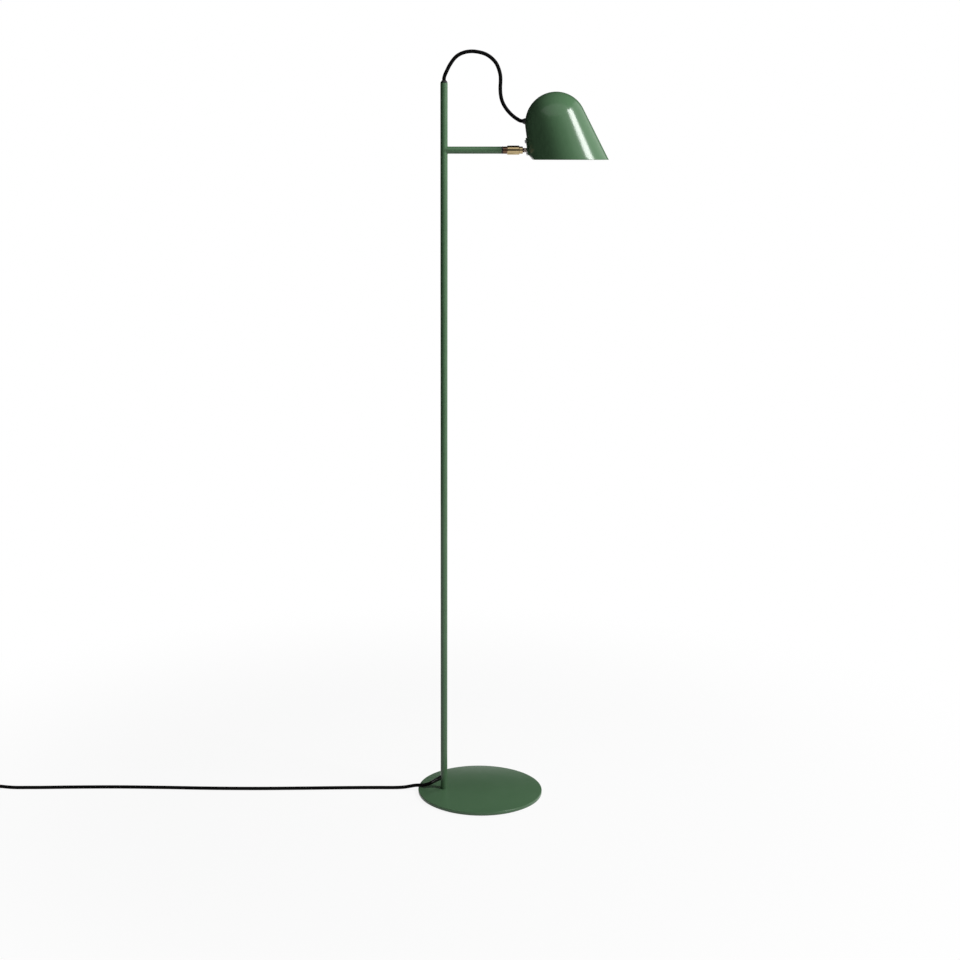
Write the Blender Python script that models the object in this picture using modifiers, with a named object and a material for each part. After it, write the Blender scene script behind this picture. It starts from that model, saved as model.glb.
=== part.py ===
"""Adjustable arm floor lamp: round foot plate, slim pole, side arm, swivel and tilt joint, dome shade.

Metres, +Z up. The origin is on the floor, on the pole's axis, and +X points from the pole to the shade.
"""

import math

import bmesh
import bpy
from mathutils import Matrix, Vector

LAMP = "adjustable_arm_floor_lamp"
GAP = 0.0003  # between two pieces that touch
MERGE = 0.00005
ROUND_STEPS = 32
SMALL_STEPS = 20
HEX_STEPS = 6
EAR_POINTS = 13
HOLE_REACH = 0.012
EMPTY_SIZE = 0.02

# Foot
FELT_THICKNESS = 0.0015
FELT_INSET = 0.004
BASE_DIAMETER = 0.240
BASE_THICKNESS = 0.006
BASE_BEVEL = 0.0009
BASE_CENTRE_X = 0.070
BASE_STEPS = 72
FOOT_SCREW_RADIUS = 0.004
FOOT_SCREW_HEAD_RADIUS = 0.0075
FOOT_SCREW_LENGTH = 0.0172
FOOT_SOCKET_RADIUS = 0.0028
FOOT_SOCKET_DEPTH = 0.0022
INSERT_HEIGHT = 0.016
INSERT_TOP_WALL = 0.004

# Pole and arm
POLE_TOP = 1.3415
POLE_DIAMETER = 0.013
POLE_WALL = 0.001
POLE_EDGE = 0.0005
ARM_HEIGHT = 1.2241
ARM_DIAMETER = 0.0128
ARM_WALL = 0.001
ARM_END = 0.1032
GLAND_STEM = 0.0125
GLAND_LOW_RADIUS = 0.0063
GLAND_TOP_RADIUS = 0.0042
GLAND_HEIGHT = 0.0042

# Cords
CORD_DIAMETER = 0.0067
CORD_SPACING = 0.018
LOOP_SPACING = 0.013
RELIEF_SLOPE = math.radians(30)
RELIEF_HEIGHT = 0.0297  # where its axis crosses the pole's surface
RELIEF_INNER_REACH = 0.0053  # from that crossing into the pole
RELIEF_LENGTH = 0.020
RELIEF_RADIUS = 0.0040
RELIEF_END_RADIUS = 0.00365
LEAD_BEND = 0.0065
LEAD_SPACING = 0.006
LEAD_EASING = ((0, 0.036), (0.25, 0.024), (0.85, 0.012), (1, 0.006))  # share of the shift, rise

# Swivel joint, along the arm
WASHER_THICKNESS = 0.0022
WASHER_RADIUS = 0.0067
SPIGOT_RADIUS = 0.0035
SPIGOT_LENGTH = 0.0176
PLUG_LENGTH = 0.015
NECK_RADIUS = 0.0065
NECK_LENGTH = 0.0077
BARREL_RADIUS = 0.00815
BARREL_LENGTH = 0.0218
BARREL_CHAMFER = 0.0008
BARREL_SHOULDER = 0.010  # bearing length at the arm's end
BARREL_BORE = 0.006
WAVE_THICKNESS = 0.001
WAVE_RADIUS = 0.0056
SWIVEL_NUT_LENGTH = 0.0035
STUB_RADIUS = 0.0056
STUB_LENGTH = 0.011
FORK_NECK_LENGTH = 0.0059

# Tilt joint
PIVOT_REACH = 0.0039  # from the fork's neck to the pivot
EAR_RADIUS = 0.0038
FORK_WIDTH = 0.0090
LUG_RADIUS = 0.0036
LUG_THICKNESS = 0.0040
LUG_CLEARANCE = 0.0006
PIVOT_RADIUS = 0.0015
PIVOT_HEAD_RADIUS = 0.0030
PIVOT_HEAD_HEIGHT = 0.0015
PIVOT_NUT_RADIUS = 0.0031
PIVOT_NUT_LENGTH = 0.0022
PLATE_THICKNESS = 0.0015
PLATE_WIDTH = 0.016
PLATE_UP = 0.021
PLATE_DOWN = 0.010
PLATE_CORNER = 0.003
SHADE_SCREW_RADIUS = 0.002
SHADE_SCREW_HEAD_RADIUS = 0.0029
SHADE_SCREW_HEAD = 0.0022
SHADE_SCREW_PLACES = {"upper": 0.0146, "lower": -0.0070}
SHADE_NUT_RADIUS = 0.0037
SHADE_NUT_LENGTH = 0.0024

# Cap screws, as shares of the head's radius and height
SOCKET_WIDTH = 0.5
SOCKET_FLOOR = 0.4
SCREW_EDGE = 0.2

# Shade
SHADE_RADIUS = 0.05495
SHADE_THICKNESS = 0.0012
SHADE_TILT = math.radians(17.95)
SHADE_HALF_ANGLE = math.radians(9.82)
SHADE_STANDOFF = 0.0060  # pivot to the shade's wall
SHADE_RISE = 0.0393  # along the wall, pivot to where the dome begins
RIM_DROP = 0.0171  # pivot to the level rim
BACK_CUT_DROP = 0.0096
BACK_CUT_SIZE = 0.040
SHADE_STEPS = 48
DOME_POINTS = 9
SKIRT_SPARE = 0.006
GROMMET_ANGLE = math.radians(3.4)
GROMMET_OUT = 0.0046
GROMMET_TIP_RADIUS = 0.0044
GROMMET_FLANGE_RADIUS = 0.0058
GROMMET_NECK_RADIUS = 0.0045
GROMMET_FLANGE = 0.0015

# Lampholder and bulb, along the shade's axis from the dome's centre, downwards
HOLDER_TOP = -0.029
HOLDER_CAP_LENGTH = 0.014
HOLDER_SKIRT_LENGTH = 0.0237
HOLDER_RADIUS = 0.0135
HOLDER_FLOOR = 0.003
HOLDER_EDGE = 0.003
RING_RADIUS = 0.0168
RING_LENGTH = 0.0042
BRACKET_LEVEL = -0.003
BRACKET_THICKNESS = 0.0015
BRACKET_RING_THICKNESS = 0.0020
BRACKET_RING_RADIUS = 0.018
BRACKET_WIDTH = 0.014
BULB_CAP_RADIUS = 0.0069
BULB_CAP_PROUD = 0.0008  # of the lampholder's skirt
BULB_RADIUS = 0.0225
BULB_NECK_RADIUS = 0.0085
BULB_LENGTH = 0.0474
BULB_POINTS = 9

# Foot switch on the mains cord
SWITCH_X = -0.9245
SWITCH_Y = 0.013
SWITCH_LENGTH = 0.078
SWITCH_WIDTH = 0.034
SWITCH_HEIGHT = 0.020
SWITCH_WALL = 0.002
SWITCH_EDGE = 0.003
SWITCH_SPLIT = 0.008
SWITCH_BLOCK = (0.030, 0.018, 0.0097)
BUTTON_RADIUS = 0.011
BUTTON_FLANGE_RADIUS = 0.013
BUTTON_FLANGE = 0.0016
BUTTON_PROUD = 0.0042
BUTTON_SKIRT = 0.0005
BUTTON_HOLLOW_RADIUS = 0.0075
BUTTON_TOP = 0.0022
BUTTON_CROWN = ((0, 0), (0.6, 0.0004), (0.9, 0.0015), (1, 0.0027))  # share of the radius, drop
SPRING_RADIUS = 0.0055
SPRING_WIRE = 0.0005
SPRING_TURNS = 4
SPRING_TURN_POINTS = 12

# Stored cord and plug
COIL_X = -1.010
COIL_BOTTOM = 0.0015
COIL_TURN_RADII = (0.0268, 0.0469)  # inner and outer turn of the lower layer
COIL_LAYER_RISE = 0.0058
TIE_WIDTH = 0.008
TIE_THICKNESS = 0.001
TIE_ANGLE = math.radians(200)
TAIL_Z = 0.0072
BOOT_LENGTH = 0.020
BOOT_RADIUS = 0.0050
BOOT_END_RADIUS = 0.0037
PLUG_X = -0.933  # cord end of the plug's body
PLUG_BODY = (0.035, 0.0353, 0.0137)
PLUG_CORD_WIDTH = 0.015
PLUG_EDGE = 0.0015
PLUG_TAPER = 0.0193
PIN_RADIUS = 0.002
PIN_LENGTH = 0.019
PIN_SPACING = 0.019

# Worked out from the above
CORD_RADIUS = CORD_DIAMETER / 2
CORD_BORE = CORD_RADIUS + GAP
CORD_FLOOR = CORD_RADIUS + GAP
BASE_BOTTOM = FELT_THICKNESS + GAP
BASE_TOP = BASE_BOTTOM + BASE_THICKNESS
POLE_RADIUS = POLE_DIAMETER / 2
POLE_FOOT = BASE_TOP + GAP
ARM_RADIUS = ARM_DIAMETER / 2
WASHER_START = ARM_END + GAP
BARREL_START = WASHER_START + WASHER_THICKNESS + GAP
BARREL_END = BARREL_START + NECK_LENGTH + BARREL_LENGTH
FORK_START = BARREL_END + GAP
NECK_END = FORK_START + FORK_NECK_LENGTH
PIVOT = Vector((NECK_END + PIVOT_REACH, 0, ARM_HEIGHT))
WALL_LEAN = SHADE_TILT - SHADE_HALF_ANGLE
WALL_UP = Vector((-math.sin(WALL_LEAN), 0, math.cos(WALL_LEAN)))
WALL_OUT = Vector((-math.cos(WALL_LEAN), 0, -math.sin(WALL_LEAN)))
DOME_CENTRE = PIVOT - WALL_OUT * (SHADE_STANDOFF + SHADE_RADIUS) + WALL_UP * SHADE_RISE
AXIS_UP = Vector((-math.sin(SHADE_TILT), 0, math.cos(SHADE_TILT)))
AXIS_BACK = Vector((-math.cos(SHADE_TILT), 0, -math.sin(SHADE_TILT)))
BRACKET_SEAT = SHADE_THICKNESS + GAP + BRACKET_WIDTH**2 / (8 * SHADE_RADIUS)  # a flat strip in a round wall
RIM_Z = PIVOT.z - RIM_DROP
GROMMET_OUTWARD = Vector((-math.cos(GROMMET_ANGLE), 0, math.sin(GROMMET_ANGLE)))
SWITCH_CENTRE = Vector((SWITCH_X, SWITCH_Y, 0))
COIL_CENTRE = Vector((COIL_X, SWITCH_Y - COIL_TURN_RADII[1], 0))
COIL_INNER = COIL_TURN_RADII[0] - CORD_RADIUS
COIL_OUTER = COIL_TURN_RADII[1] + CORD_RADIUS
TAIL_Y = COIL_CENTRE.y - (COIL_TURN_RADII[1] - CORD_RADIUS)

# The free cord's route from the pole to the switch, and on to the coil
MAINS_ROUTE = [
    (-0.02412, 0, 0.01953), (-0.0273, 0.0001, 0.0177), (-0.0320, 0.0012, 0.0153),
    (-0.0380, 0.0029, 0.0132), (-0.0440, 0.0046, 0.0120), (-0.0500, 0.0060, 0.0115),
    (-0.0565, 0.0076, 0.0105), (-0.0660, 0.0096, 0.0080), (-0.0770, 0.0113, 0.0055),
    (-0.0900, 0.0125, 0.0041), (-0.1050, 0.0131, CORD_FLOOR), (-0.1250, 0.0133, CORD_FLOOR),
    (-0.1900, 0.0125, CORD_FLOOR), (-0.2800, 0.0100, CORD_FLOOR), (-0.3700, 0.0085, CORD_FLOOR),
    (-0.4600, 0.0100, CORD_FLOOR), (-0.5500, 0.0140, CORD_FLOOR), (-0.6400, 0.0165, CORD_FLOOR),
    (-0.7300, 0.0155, CORD_FLOOR), (-0.8100, 0.0135, CORD_FLOOR), (-0.8450, 0.0130, 0.0042),
    (-0.8680, 0.0130, 0.0064), (-0.8830, 0.0130, 0.0079), (-0.8950, 0.0130, SWITCH_SPLIT),
    (-0.9092, 0.0130, SWITCH_SPLIT),
]
SECOND_ROUTE = [
    (-0.9398, 0.0130, SWITCH_SPLIT), (-0.9500, 0.0130, SWITCH_SPLIT), (-0.9600, 0.0130, SWITCH_SPLIT),
    (-0.9660, 0.0130, 0.0079), (-0.9725, 0.0130, 0.0073), (-0.9785, 0.0130, 0.0064),
    (-0.9835, 0.0130, 0.0056),
]
TAIL_ROUTE = [
    (-0.9790, TAIL_Y, 0.0095), (-0.9720, TAIL_Y, 0.0085), (-0.9630, TAIL_Y, 0.0076),
    (PLUG_X - BOOT_LENGTH - 2 * GAP, TAIL_Y, TAIL_Z),
]
LOOP_ROUTE = [
    (0.0000, 0, 1.3463), (0.0000, 0, 1.3492), (0.0012, 0, 1.3543), (0.0042, 0, 1.3610),
    (0.0110, 0, 1.3740), (0.0240, 0, 1.3890),
    (0.0350, 0, 1.3942), (0.0480, 0, 1.3963), (0.0605, 0, 1.3953), (0.0750, 0, 1.3910), (0.0850, 0, 1.3844),
    (0.0930, 0, 1.3755), (0.0982, 0, 1.3640), (0.1006, 0, 1.3540), (0.1009, 0, 1.3430), (0.1005, 0, 1.3335),
    (0.1008, 0, 1.3255), (0.1020, 0, 1.3170), (0.1047, 0, 1.3083), (0.1097, 0, 1.2992), (0.1168, 0, 1.2905),
    (0.1248, 0, 1.2831), (0.1322, 0, 1.2782), (0.1370, 0, 1.2757), (0.1406, 0, 1.2753),
]

# Colour, roughness and metallic value of each finish
FINISHES = {
    "green_paint": ((0.075, 0.150, 0.082, 1), 0.35, 0.0),
    "brass": ((0.620, 0.480, 0.250, 1), 0.25, 1.0),
    "steel": ((0.550, 0.550, 0.560, 1), 0.35, 1.0),
    "black_plastic": ((0.012, 0.012, 0.013, 1), 0.45, 0.0),
    "black_textile": ((0.010, 0.010, 0.011, 1), 0.85, 0.0),
    "black_felt": ((0.020, 0.020, 0.020, 1), 0.95, 0.0),
    "white_plastic": ((0.750, 0.740, 0.700, 1), 0.45, 0.0),
    "opal_glass": ((0.900, 0.890, 0.860, 1), 0.20, 0.0),
}


def clear_scene():
    for old in list(bpy.data.objects):
        bpy.data.objects.remove(old)


def new_collection(name):
    made = bpy.data.collections.new(name)
    bpy.context.scene.collection.children.link(made)
    return made


def material(finish):
    found = bpy.data.materials.get(finish)
    if found:
        return found
    colour, roughness, metallic = FINISHES[finish]
    made = bpy.data.materials.new(finish)
    made.use_nodes = True
    shader = made.node_tree.nodes["Principled BSDF"]
    shader.inputs["Base Color"].default_value = colour
    shader.inputs["Roughness"].default_value = roughness
    shader.inputs["Metallic"].default_value = metallic
    made.diffuse_color = colour
    return made


def add(name, data, finish=None):
    """A new object: a part if it has a finish, and otherwise a cutter."""
    made = bpy.data.objects.new(name, data)
    if finish:
        parts.objects.link(made)
        made.data.materials.append(material(finish))
    else:
        cutters.objects.link(made)
        made.hide_render = True
        made.display_type = "WIRE"
    return made


def facing(axis, side=(0, 1, 0)):
    """The rotation that turns local Z to axis and local Y to side."""
    up, across = Vector(axis).normalized(), Vector(side).normalized()
    return Matrix((across.cross(up), across, up)).transposed().to_euler()


def put(made, location, axis=(0, 0, 1), side=(0, 1, 0)):
    made.location = location
    made.rotation_euler = facing(axis, side)
    return made


def carry(pivot, *pieces):
    """Parents the pieces to an empty on their joint's axis, and leaves them where they are."""
    bpy.context.view_layer.update()
    for piece in pieces:
        piece.parent = pivot
        piece.matrix_parent_inverse = pivot.matrix_world.inverted()


def pivot_empty(name, location):
    made = bpy.data.objects.new(name, None)
    made.location = location
    made.empty_display_size = EMPTY_SIZE
    parts.objects.link(made)
    return made


def turned(name, profile, finish=None, steps=ROUND_STEPS):
    """Turns (radius, height) pairs about local Z, given down the outer side; a bore closes them."""
    points = [(radius, 0, height) for radius, height in profile]
    edges = [(i, i + 1) for i in range(len(points) - 1)]
    if profile[0][0] > 0:
        edges.append((len(points) - 1, 0))
    mesh = bpy.data.meshes.new(name)
    mesh.from_pydata(points, edges, [])
    made = add(name, mesh, finish)
    screw = made.modifiers.new("turn", "SCREW")
    screw.steps = screw.render_steps = steps
    screw.use_merge_vertices = True
    screw.merge_threshold = MERGE
    screw.use_smooth_shade = True
    return made


def ring_profile(outer, inner, top, bottom, edge=0.0):
    """A tube's profile, with chamfered outer edges if edge is given."""
    side = [(outer, top), (outer, bottom)]
    if edge:
        side = [(outer - edge, top), (outer, top - edge), (outer, bottom + edge), (outer - edge, bottom)]
    return side + [(inner, bottom), (inner, top)]


def hex_nut(name, across, bore, length, finish):
    """A hexagonal nut whose bottom is at local Z 0; across is its radius to the corners."""
    flat = math.cos(math.pi / HEX_STEPS)
    return turned(name, ring_profile(across, bore / flat, length, 0), finish, HEX_STEPS)


def cap_screw(name, radius, length, head_radius, head_height, finish):
    """A socket cap screw: the head stands on local Z 0 and the shaft runs down from there."""
    socket, floor = head_radius * SOCKET_WIDTH, head_height * SOCKET_FLOOR
    edge = head_height * SCREW_EDGE
    profile = [
        (0, floor), (socket, floor), (socket, head_height), (head_radius - edge, head_height),
        (head_radius, head_height - edge), (head_radius, 0), (radius, 0), (radius, -length), (0, -length),
    ]
    return turned(name, profile, finish, SMALL_STEPS)


def tube(name, points, radius, finish, resolution=2):
    """A round cord or wire along the points."""
    curve = bpy.data.curves.new(name, "CURVE")
    curve.dimensions = "3D"
    spline = curve.splines.new("POLY")
    spline.points.add(len(points) - 1)
    for place, point in zip(spline.points, points):
        place.co = (*point, 1)
    curve.bevel_depth = radius
    curve.bevel_resolution = resolution
    curve.use_fill_caps = True
    return add(name, curve, finish)


def extruded(name, outlines, thickness, finish=None):
    """Flat outlines in local XY, filled, and half the thickness to each side of it."""
    curve = bpy.data.curves.new(name, "CURVE")
    curve.dimensions = "2D"
    curve.fill_mode = "BOTH"
    curve.extrude = thickness / 2
    for outline in outlines:
        spline = curve.splines.new("POLY")
        spline.points.add(len(outline) - 1)
        for place, point in zip(spline.points, outline):
            place.co = (point[0], point[1], 0, 1)
        spline.use_cyclic_u = True
    return add(name, curve, finish)


def as_mesh(drawn):
    """The curve object as a closed mesh object of the same name, in the same place."""
    bpy.context.view_layer.update()
    mesh = bpy.data.meshes.new_from_object(drawn.evaluated_get(bpy.context.evaluated_depsgraph_get()))
    shape = bmesh.new()
    shape.from_mesh(mesh)
    bmesh.ops.remove_doubles(shape, verts=shape.verts, dist=MERGE)
    shape.to_mesh(mesh)
    shape.free()
    name, place, groups = drawn.name, drawn.matrix_world.copy(), list(drawn.users_collection)
    hidden, shown_as = drawn.hide_render, drawn.display_type
    bpy.data.objects.remove(drawn)
    made = bpy.data.objects.new(name, mesh)
    for group in groups:
        group.objects.link(made)
    made.matrix_world = place
    made.hide_render, made.display_type = hidden, shown_as
    return made


def block(name, size, location, axis=(0, 0, 1), side=(0, 1, 0), finish=None):
    shape = bmesh.new()
    bmesh.ops.create_cube(shape, size=1)
    bmesh.ops.scale(shape, vec=size, verts=shape.verts)
    mesh = bpy.data.meshes.new(name)
    shape.to_mesh(mesh)
    shape.free()
    return put(add(name, mesh, finish), location, axis, side)


def rod(name, radius, length, location, axis, finish=None, steps=SMALL_STEPS):
    """A plain cylinder, centred on its location."""
    shape = bmesh.new()
    bmesh.ops.create_cone(shape, cap_ends=True, segments=steps, radius1=radius, radius2=radius, depth=length)
    mesh = bpy.data.meshes.new(name)
    shape.to_mesh(mesh)
    shape.free()
    side = (0, 1, 0) if abs(Vector(axis).normalized().y) < 0.5 else (1, 0, 0)
    return put(add(name, mesh, finish), location, axis, side)


def combine(made, other, operation="DIFFERENCE"):
    change = made.modifiers.new(other.name, "BOOLEAN")
    change.operation = operation
    change.solver = "EXACT"
    change.object = other


def bevel(made, width, segments=2):
    rounded = made.modifiers.new("edges", "BEVEL")
    rounded.width = width
    rounded.segments = segments
    rounded.limit_method = "ANGLE"


def arc(centre, radius, start, end, count):
    """Points on an arc in a plane; angles in radians."""
    turns = [start + (end - start) * i / (count - 1) for i in range(count)]
    return [(centre[0] + radius * math.cos(a), centre[1] + radius * math.sin(a)) for a in turns]


def rounded_box(width, height, corner, count=5):
    half_w, half_h, quarter = width / 2 - corner, height / 2 - corner, math.pi / 2
    corners = [(half_w, half_h), (-half_w, half_h), (-half_w, -half_h), (half_w, -half_h)]
    return [p for i, c in enumerate(corners) for p in arc(c, corner, i * quarter, (i + 1) * quarter, count)]


def stadium(length, width, count=13):
    """A long outline with half-round ends."""
    half, radius = length / 2 - width / 2, width / 2
    right = arc((half, 0), radius, -math.pi / 2, math.pi / 2, count)
    return right + [(-x, -y) for x, y in right]


def smooth_route(points, spacing):
    """Points about spacing apart on one smooth curve through the given ones."""
    given = [Vector(p) for p in points]
    spans = [(b - a).length for a, b in zip(given, given[1:])]
    slopes = [(b - a) / span for a, b, span in zip(given, given[1:], spans)]
    tangents = [slopes[0]]
    for i in range(1, len(slopes)):
        tangents.append((slopes[i] * spans[i - 1] + slopes[i - 1] * spans[i]) / (spans[i - 1] + spans[i]))
    tangents.append(slopes[-1])
    route = []
    for i, span in enumerate(spans):
        pieces = max(1, round(span / spacing))
        for k in range(pieces):
            t = k / pieces
            route.append(
                given[i] * (2 * t**3 - 3 * t**2 + 1) + tangents[i] * span * (t**3 - 2 * t**2 + t)
                + given[i + 1] * (3 * t**2 - 2 * t**3) + tangents[i + 1] * span * (t**3 - t**2)
            )
    return route + [given[-1]]


def on_wall(up, out):
    """A point of the shade's back wall: up along the wall from the pivot, and out from its outer face."""
    return PIVOT + WALL_OUT * (out - SHADE_STANDOFF) + WALL_UP * up


def on_axis(down):
    """A point of the shade's axis, that far below the dome's centre."""
    return DOME_CENTRE - AXIS_UP * down


def make_foot():
    centre = (BASE_CENTRE_X, 0, 0)
    radius = BASE_DIAMETER / 2
    felt = [(0, FELT_THICKNESS), (radius - FELT_INSET, FELT_THICKNESS), (radius - FELT_INSET, 0), (0, 0)]
    put(turned("base_felt_pad", felt, "black_felt", BASE_STEPS), centre)
    plate = [
        (0, BASE_TOP), (radius - BASE_BEVEL, BASE_TOP), (radius, BASE_TOP - BASE_BEVEL),
        (radius, BASE_BOTTOM + BASE_BEVEL), (radius - BASE_BEVEL, BASE_BOTTOM), (0, BASE_BOTTOM),
    ]
    base = put(turned("base_plate", plate, "green_paint", BASE_STEPS), centre)
    sink, hole = FOOT_SCREW_HEAD_RADIUS + GAP, FOOT_SCREW_RADIUS + GAP
    cone = sink - hole
    seat = [
        (0, BASE_TOP + GAP), (hole, BASE_TOP + GAP), (hole, BASE_BOTTOM + GAP + cone),
        (sink, BASE_BOTTOM + GAP), (sink, BASE_BOTTOM - GAP), (0, BASE_BOTTOM - GAP),
    ]
    combine(base, turned("foot_screw_seat", seat, steps=ROUND_STEPS))
    make_foot_screw()
    make_foot_insert()


def make_foot_screw():
    low = BASE_BOTTOM
    top = low + FOOT_SCREW_LENGTH
    cone = FOOT_SCREW_HEAD_RADIUS - FOOT_SCREW_RADIUS
    profile = [
        (0, top), (FOOT_SCREW_RADIUS, top), (FOOT_SCREW_RADIUS, low + cone), (FOOT_SCREW_HEAD_RADIUS, low),
        (FOOT_SOCKET_RADIUS, low), (FOOT_SOCKET_RADIUS, low + FOOT_SOCKET_DEPTH),
        (0, low + FOOT_SOCKET_DEPTH),
    ]
    turned("foot_screw", profile, "steel")


def make_foot_insert():
    radius = POLE_RADIUS - POLE_WALL - GAP
    bore = FOOT_SCREW_RADIUS + GAP
    top = POLE_FOOT + INSERT_HEIGHT
    profile = [
        (0, top), (radius, top), (radius, POLE_FOOT), (bore, POLE_FOOT),
        (bore, top - INSERT_TOP_WALL), (0, top - INSERT_TOP_WALL),
    ]
    turned("pole_foot_insert", profile, "steel")


def make_pole():
    inner = POLE_RADIUS - POLE_WALL
    profile = [
        (POLE_RADIUS - POLE_EDGE, POLE_TOP), (POLE_RADIUS, POLE_TOP - POLE_EDGE), (POLE_RADIUS, POLE_FOOT),
        (inner, POLE_FOOT), (inner, POLE_TOP),
    ]
    pole = turned("pole_tube", profile, "green_paint")
    outward, crossing = relief_axis()
    hole_length = POLE_DIAMETER
    middle = crossing + outward * (hole_length / 2 - RELIEF_INNER_REACH)
    combine(pole, rod("cord_exit_hole", RELIEF_RADIUS + GAP, hole_length, middle, outward))
    seat, low = POLE_TOP + GAP, POLE_TOP - GLAND_STEM
    gland = [
        (GLAND_TOP_RADIUS, seat + GLAND_HEIGHT), (GLAND_LOW_RADIUS, seat + GLAND_HEIGHT / 4),
        (GLAND_LOW_RADIUS, seat), (inner - GAP, seat), (inner - GAP, low), (CORD_BORE, low),
        (CORD_BORE, seat + GLAND_HEIGHT),
    ]
    turned("pole_top_gland", gland, "black_plastic")


def relief_axis():
    """The strain relief's outward direction, and where its axis crosses the pole's surface."""
    outward = Vector((-math.cos(RELIEF_SLOPE), 0, -math.sin(RELIEF_SLOPE)))
    return outward, Vector((-POLE_RADIUS, 0, RELIEF_HEIGHT))


def make_strain_relief():
    outward, crossing = relief_axis()
    profile = [
        (0, RELIEF_LENGTH), (RELIEF_END_RADIUS, RELIEF_LENGTH), (RELIEF_RADIUS, 0),
        (RELIEF_RADIUS, -RELIEF_INNER_REACH), (0, -RELIEF_INNER_REACH),
    ]
    put(turned("cord_strain_relief", profile, "black_plastic", SMALL_STEPS), crossing, outward)


def make_inner_lead():
    """The lead inside the pole, from the top gland down to a bend that meets the strain relief."""
    outward, crossing = relief_axis()
    end = crossing - outward * (RELIEF_INNER_REACH + GAP)
    turn = math.pi / 2 - RELIEF_SLOPE
    centre = (end.x - LEAD_BEND * math.cos(turn), end.z + LEAD_BEND * math.sin(turn))
    bend = arc(centre, LEAD_BEND, 0, -turn, 6)
    offset = bend[0][0]
    easing = [(offset * share, centre[1] + rise) for share, rise in LEAD_EASING]
    straight = [(0, POLE_TOP + GAP + GLAND_HEIGHT), *easing]
    tube("pole_inner_lead", [(x, 0, z) for x, z in straight + bend], CORD_RADIUS, "black_textile")


def make_arm():
    length = ARM_END
    arm = put(turned("arm_tube", ring_profile(ARM_RADIUS, ARM_RADIUS - ARM_WALL, length, 0), "green_paint"),
              (0, 0, ARM_HEIGHT), (1, 0, 0))
    combine(arm, rod("arm_saddle", POLE_RADIUS + GAP, ARM_DIAMETER * 2, (0, 0, ARM_HEIGHT), (0, 0, 1),
                     steps=ROUND_STEPS))
    plug_radius = ARM_RADIUS - ARM_WALL - GAP
    tip = SPIGOT_LENGTH
    plug = [
        (0, tip), (SPIGOT_RADIUS, tip), (SPIGOT_RADIUS, 0), (plug_radius, 0), (plug_radius, -PLUG_LENGTH),
        (0, -PLUG_LENGTH),
    ]
    put(turned("arm_end_plug", plug, "steel"), (ARM_END, 0, ARM_HEIGHT), (1, 0, 0))


def along_arm(made, x):
    return put(made, (x, 0, ARM_HEIGHT), (1, 0, 0))


def make_swivel():
    bore = SPIGOT_RADIUS + GAP
    washer = ring_profile(WASHER_RADIUS, bore, WASHER_THICKNESS, 0, GAP)
    along_arm(turned("joint_washer", washer, "black_plastic"), WASHER_START)
    wave_start = BARREL_SHOULDER + GAP
    wave = ring_profile(WAVE_RADIUS, bore, WAVE_THICKNESS, 0)
    along_arm(turned("wave_washer", wave, "steel"), BARREL_START + wave_start)
    nut = hex_nut("swivel_nut", WAVE_RADIUS, bore, SWIVEL_NUT_LENGTH, "steel")
    along_arm(nut, BARREL_START + wave_start + WAVE_THICKNESS + GAP)
    end = NECK_LENGTH + BARREL_LENGTH
    edge = BARREL_CHAMFER
    barrel = [
        (BARREL_RADIUS - edge, end), (BARREL_RADIUS, end - edge), (BARREL_RADIUS, NECK_LENGTH + edge),
        (BARREL_RADIUS - edge, NECK_LENGTH), (NECK_RADIUS, NECK_LENGTH), (NECK_RADIUS, edge / 2),
        (NECK_RADIUS - edge / 2, 0), (bore, 0), (bore, BARREL_SHOULDER), (BARREL_BORE, BARREL_SHOULDER),
        (BARREL_BORE, end),
    ]
    return [along_arm(turned("joint_barrel", barrel, "brass"), BARREL_START), make_fork()]


def ear_outline(base):
    """An ear in local XY: round about the origin, and straight back to base."""
    tip = arc((0, 0), EAR_RADIUS, math.pi / 2, -math.pi / 2, EAR_POINTS)
    return [(base, EAR_RADIUS)] + tip + [(base, -EAR_RADIUS)]


def make_fork():
    edge = BARREL_CHAMFER
    profile = [
        (0, FORK_NECK_LENGTH), (NECK_RADIUS - edge, FORK_NECK_LENGTH),
        (NECK_RADIUS, FORK_NECK_LENGTH - edge), (NECK_RADIUS, 0), (STUB_RADIUS, 0),
        (STUB_RADIUS, -STUB_LENGTH), (0, -STUB_LENGTH),
    ]
    fork = along_arm(turned("joint_fork", profile, "brass"), FORK_START)
    ears = extruded("fork_ears", [ear_outline(-PIVOT_REACH - FORK_NECK_LENGTH / 2)], FORK_WIDTH)
    ears = as_mesh(put(ears, PIVOT, (0, -1, 0), (0, 0, 1)))
    combine(fork, ears, "UNION")
    slot_floor = PIVOT.x - LUG_RADIUS - LUG_CLEARANCE
    slot_length = 2 * BARREL_RADIUS
    slot_size = (slot_length, LUG_THICKNESS + 2 * GAP, slot_length)
    combine(fork, block("fork_slot", slot_size, (slot_floor + slot_length / 2, 0, ARM_HEIGHT)))
    combine(fork, rod("fork_pin_hole", PIVOT_RADIUS + GAP, 2 * FORK_WIDTH, PIVOT, (0, 1, 0)))
    return fork


def make_tilt_screw():
    side = FORK_WIDTH / 2 + GAP
    length = 2 * side + PIVOT_NUT_LENGTH
    screw = cap_screw("tilt_screw", PIVOT_RADIUS, length, PIVOT_HEAD_RADIUS, PIVOT_HEAD_HEIGHT, "steel")
    put(screw, PIVOT - Vector((0, side, 0)), (0, -1, 0), (0, 0, 1))
    nut = hex_nut("tilt_nut", PIVOT_NUT_RADIUS, PIVOT_RADIUS + GAP, PIVOT_NUT_LENGTH, "steel")
    put(nut, PIVOT + Vector((0, side, 0)), (0, 1, 0), (0, 0, 1))
    return [screw, nut]


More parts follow.
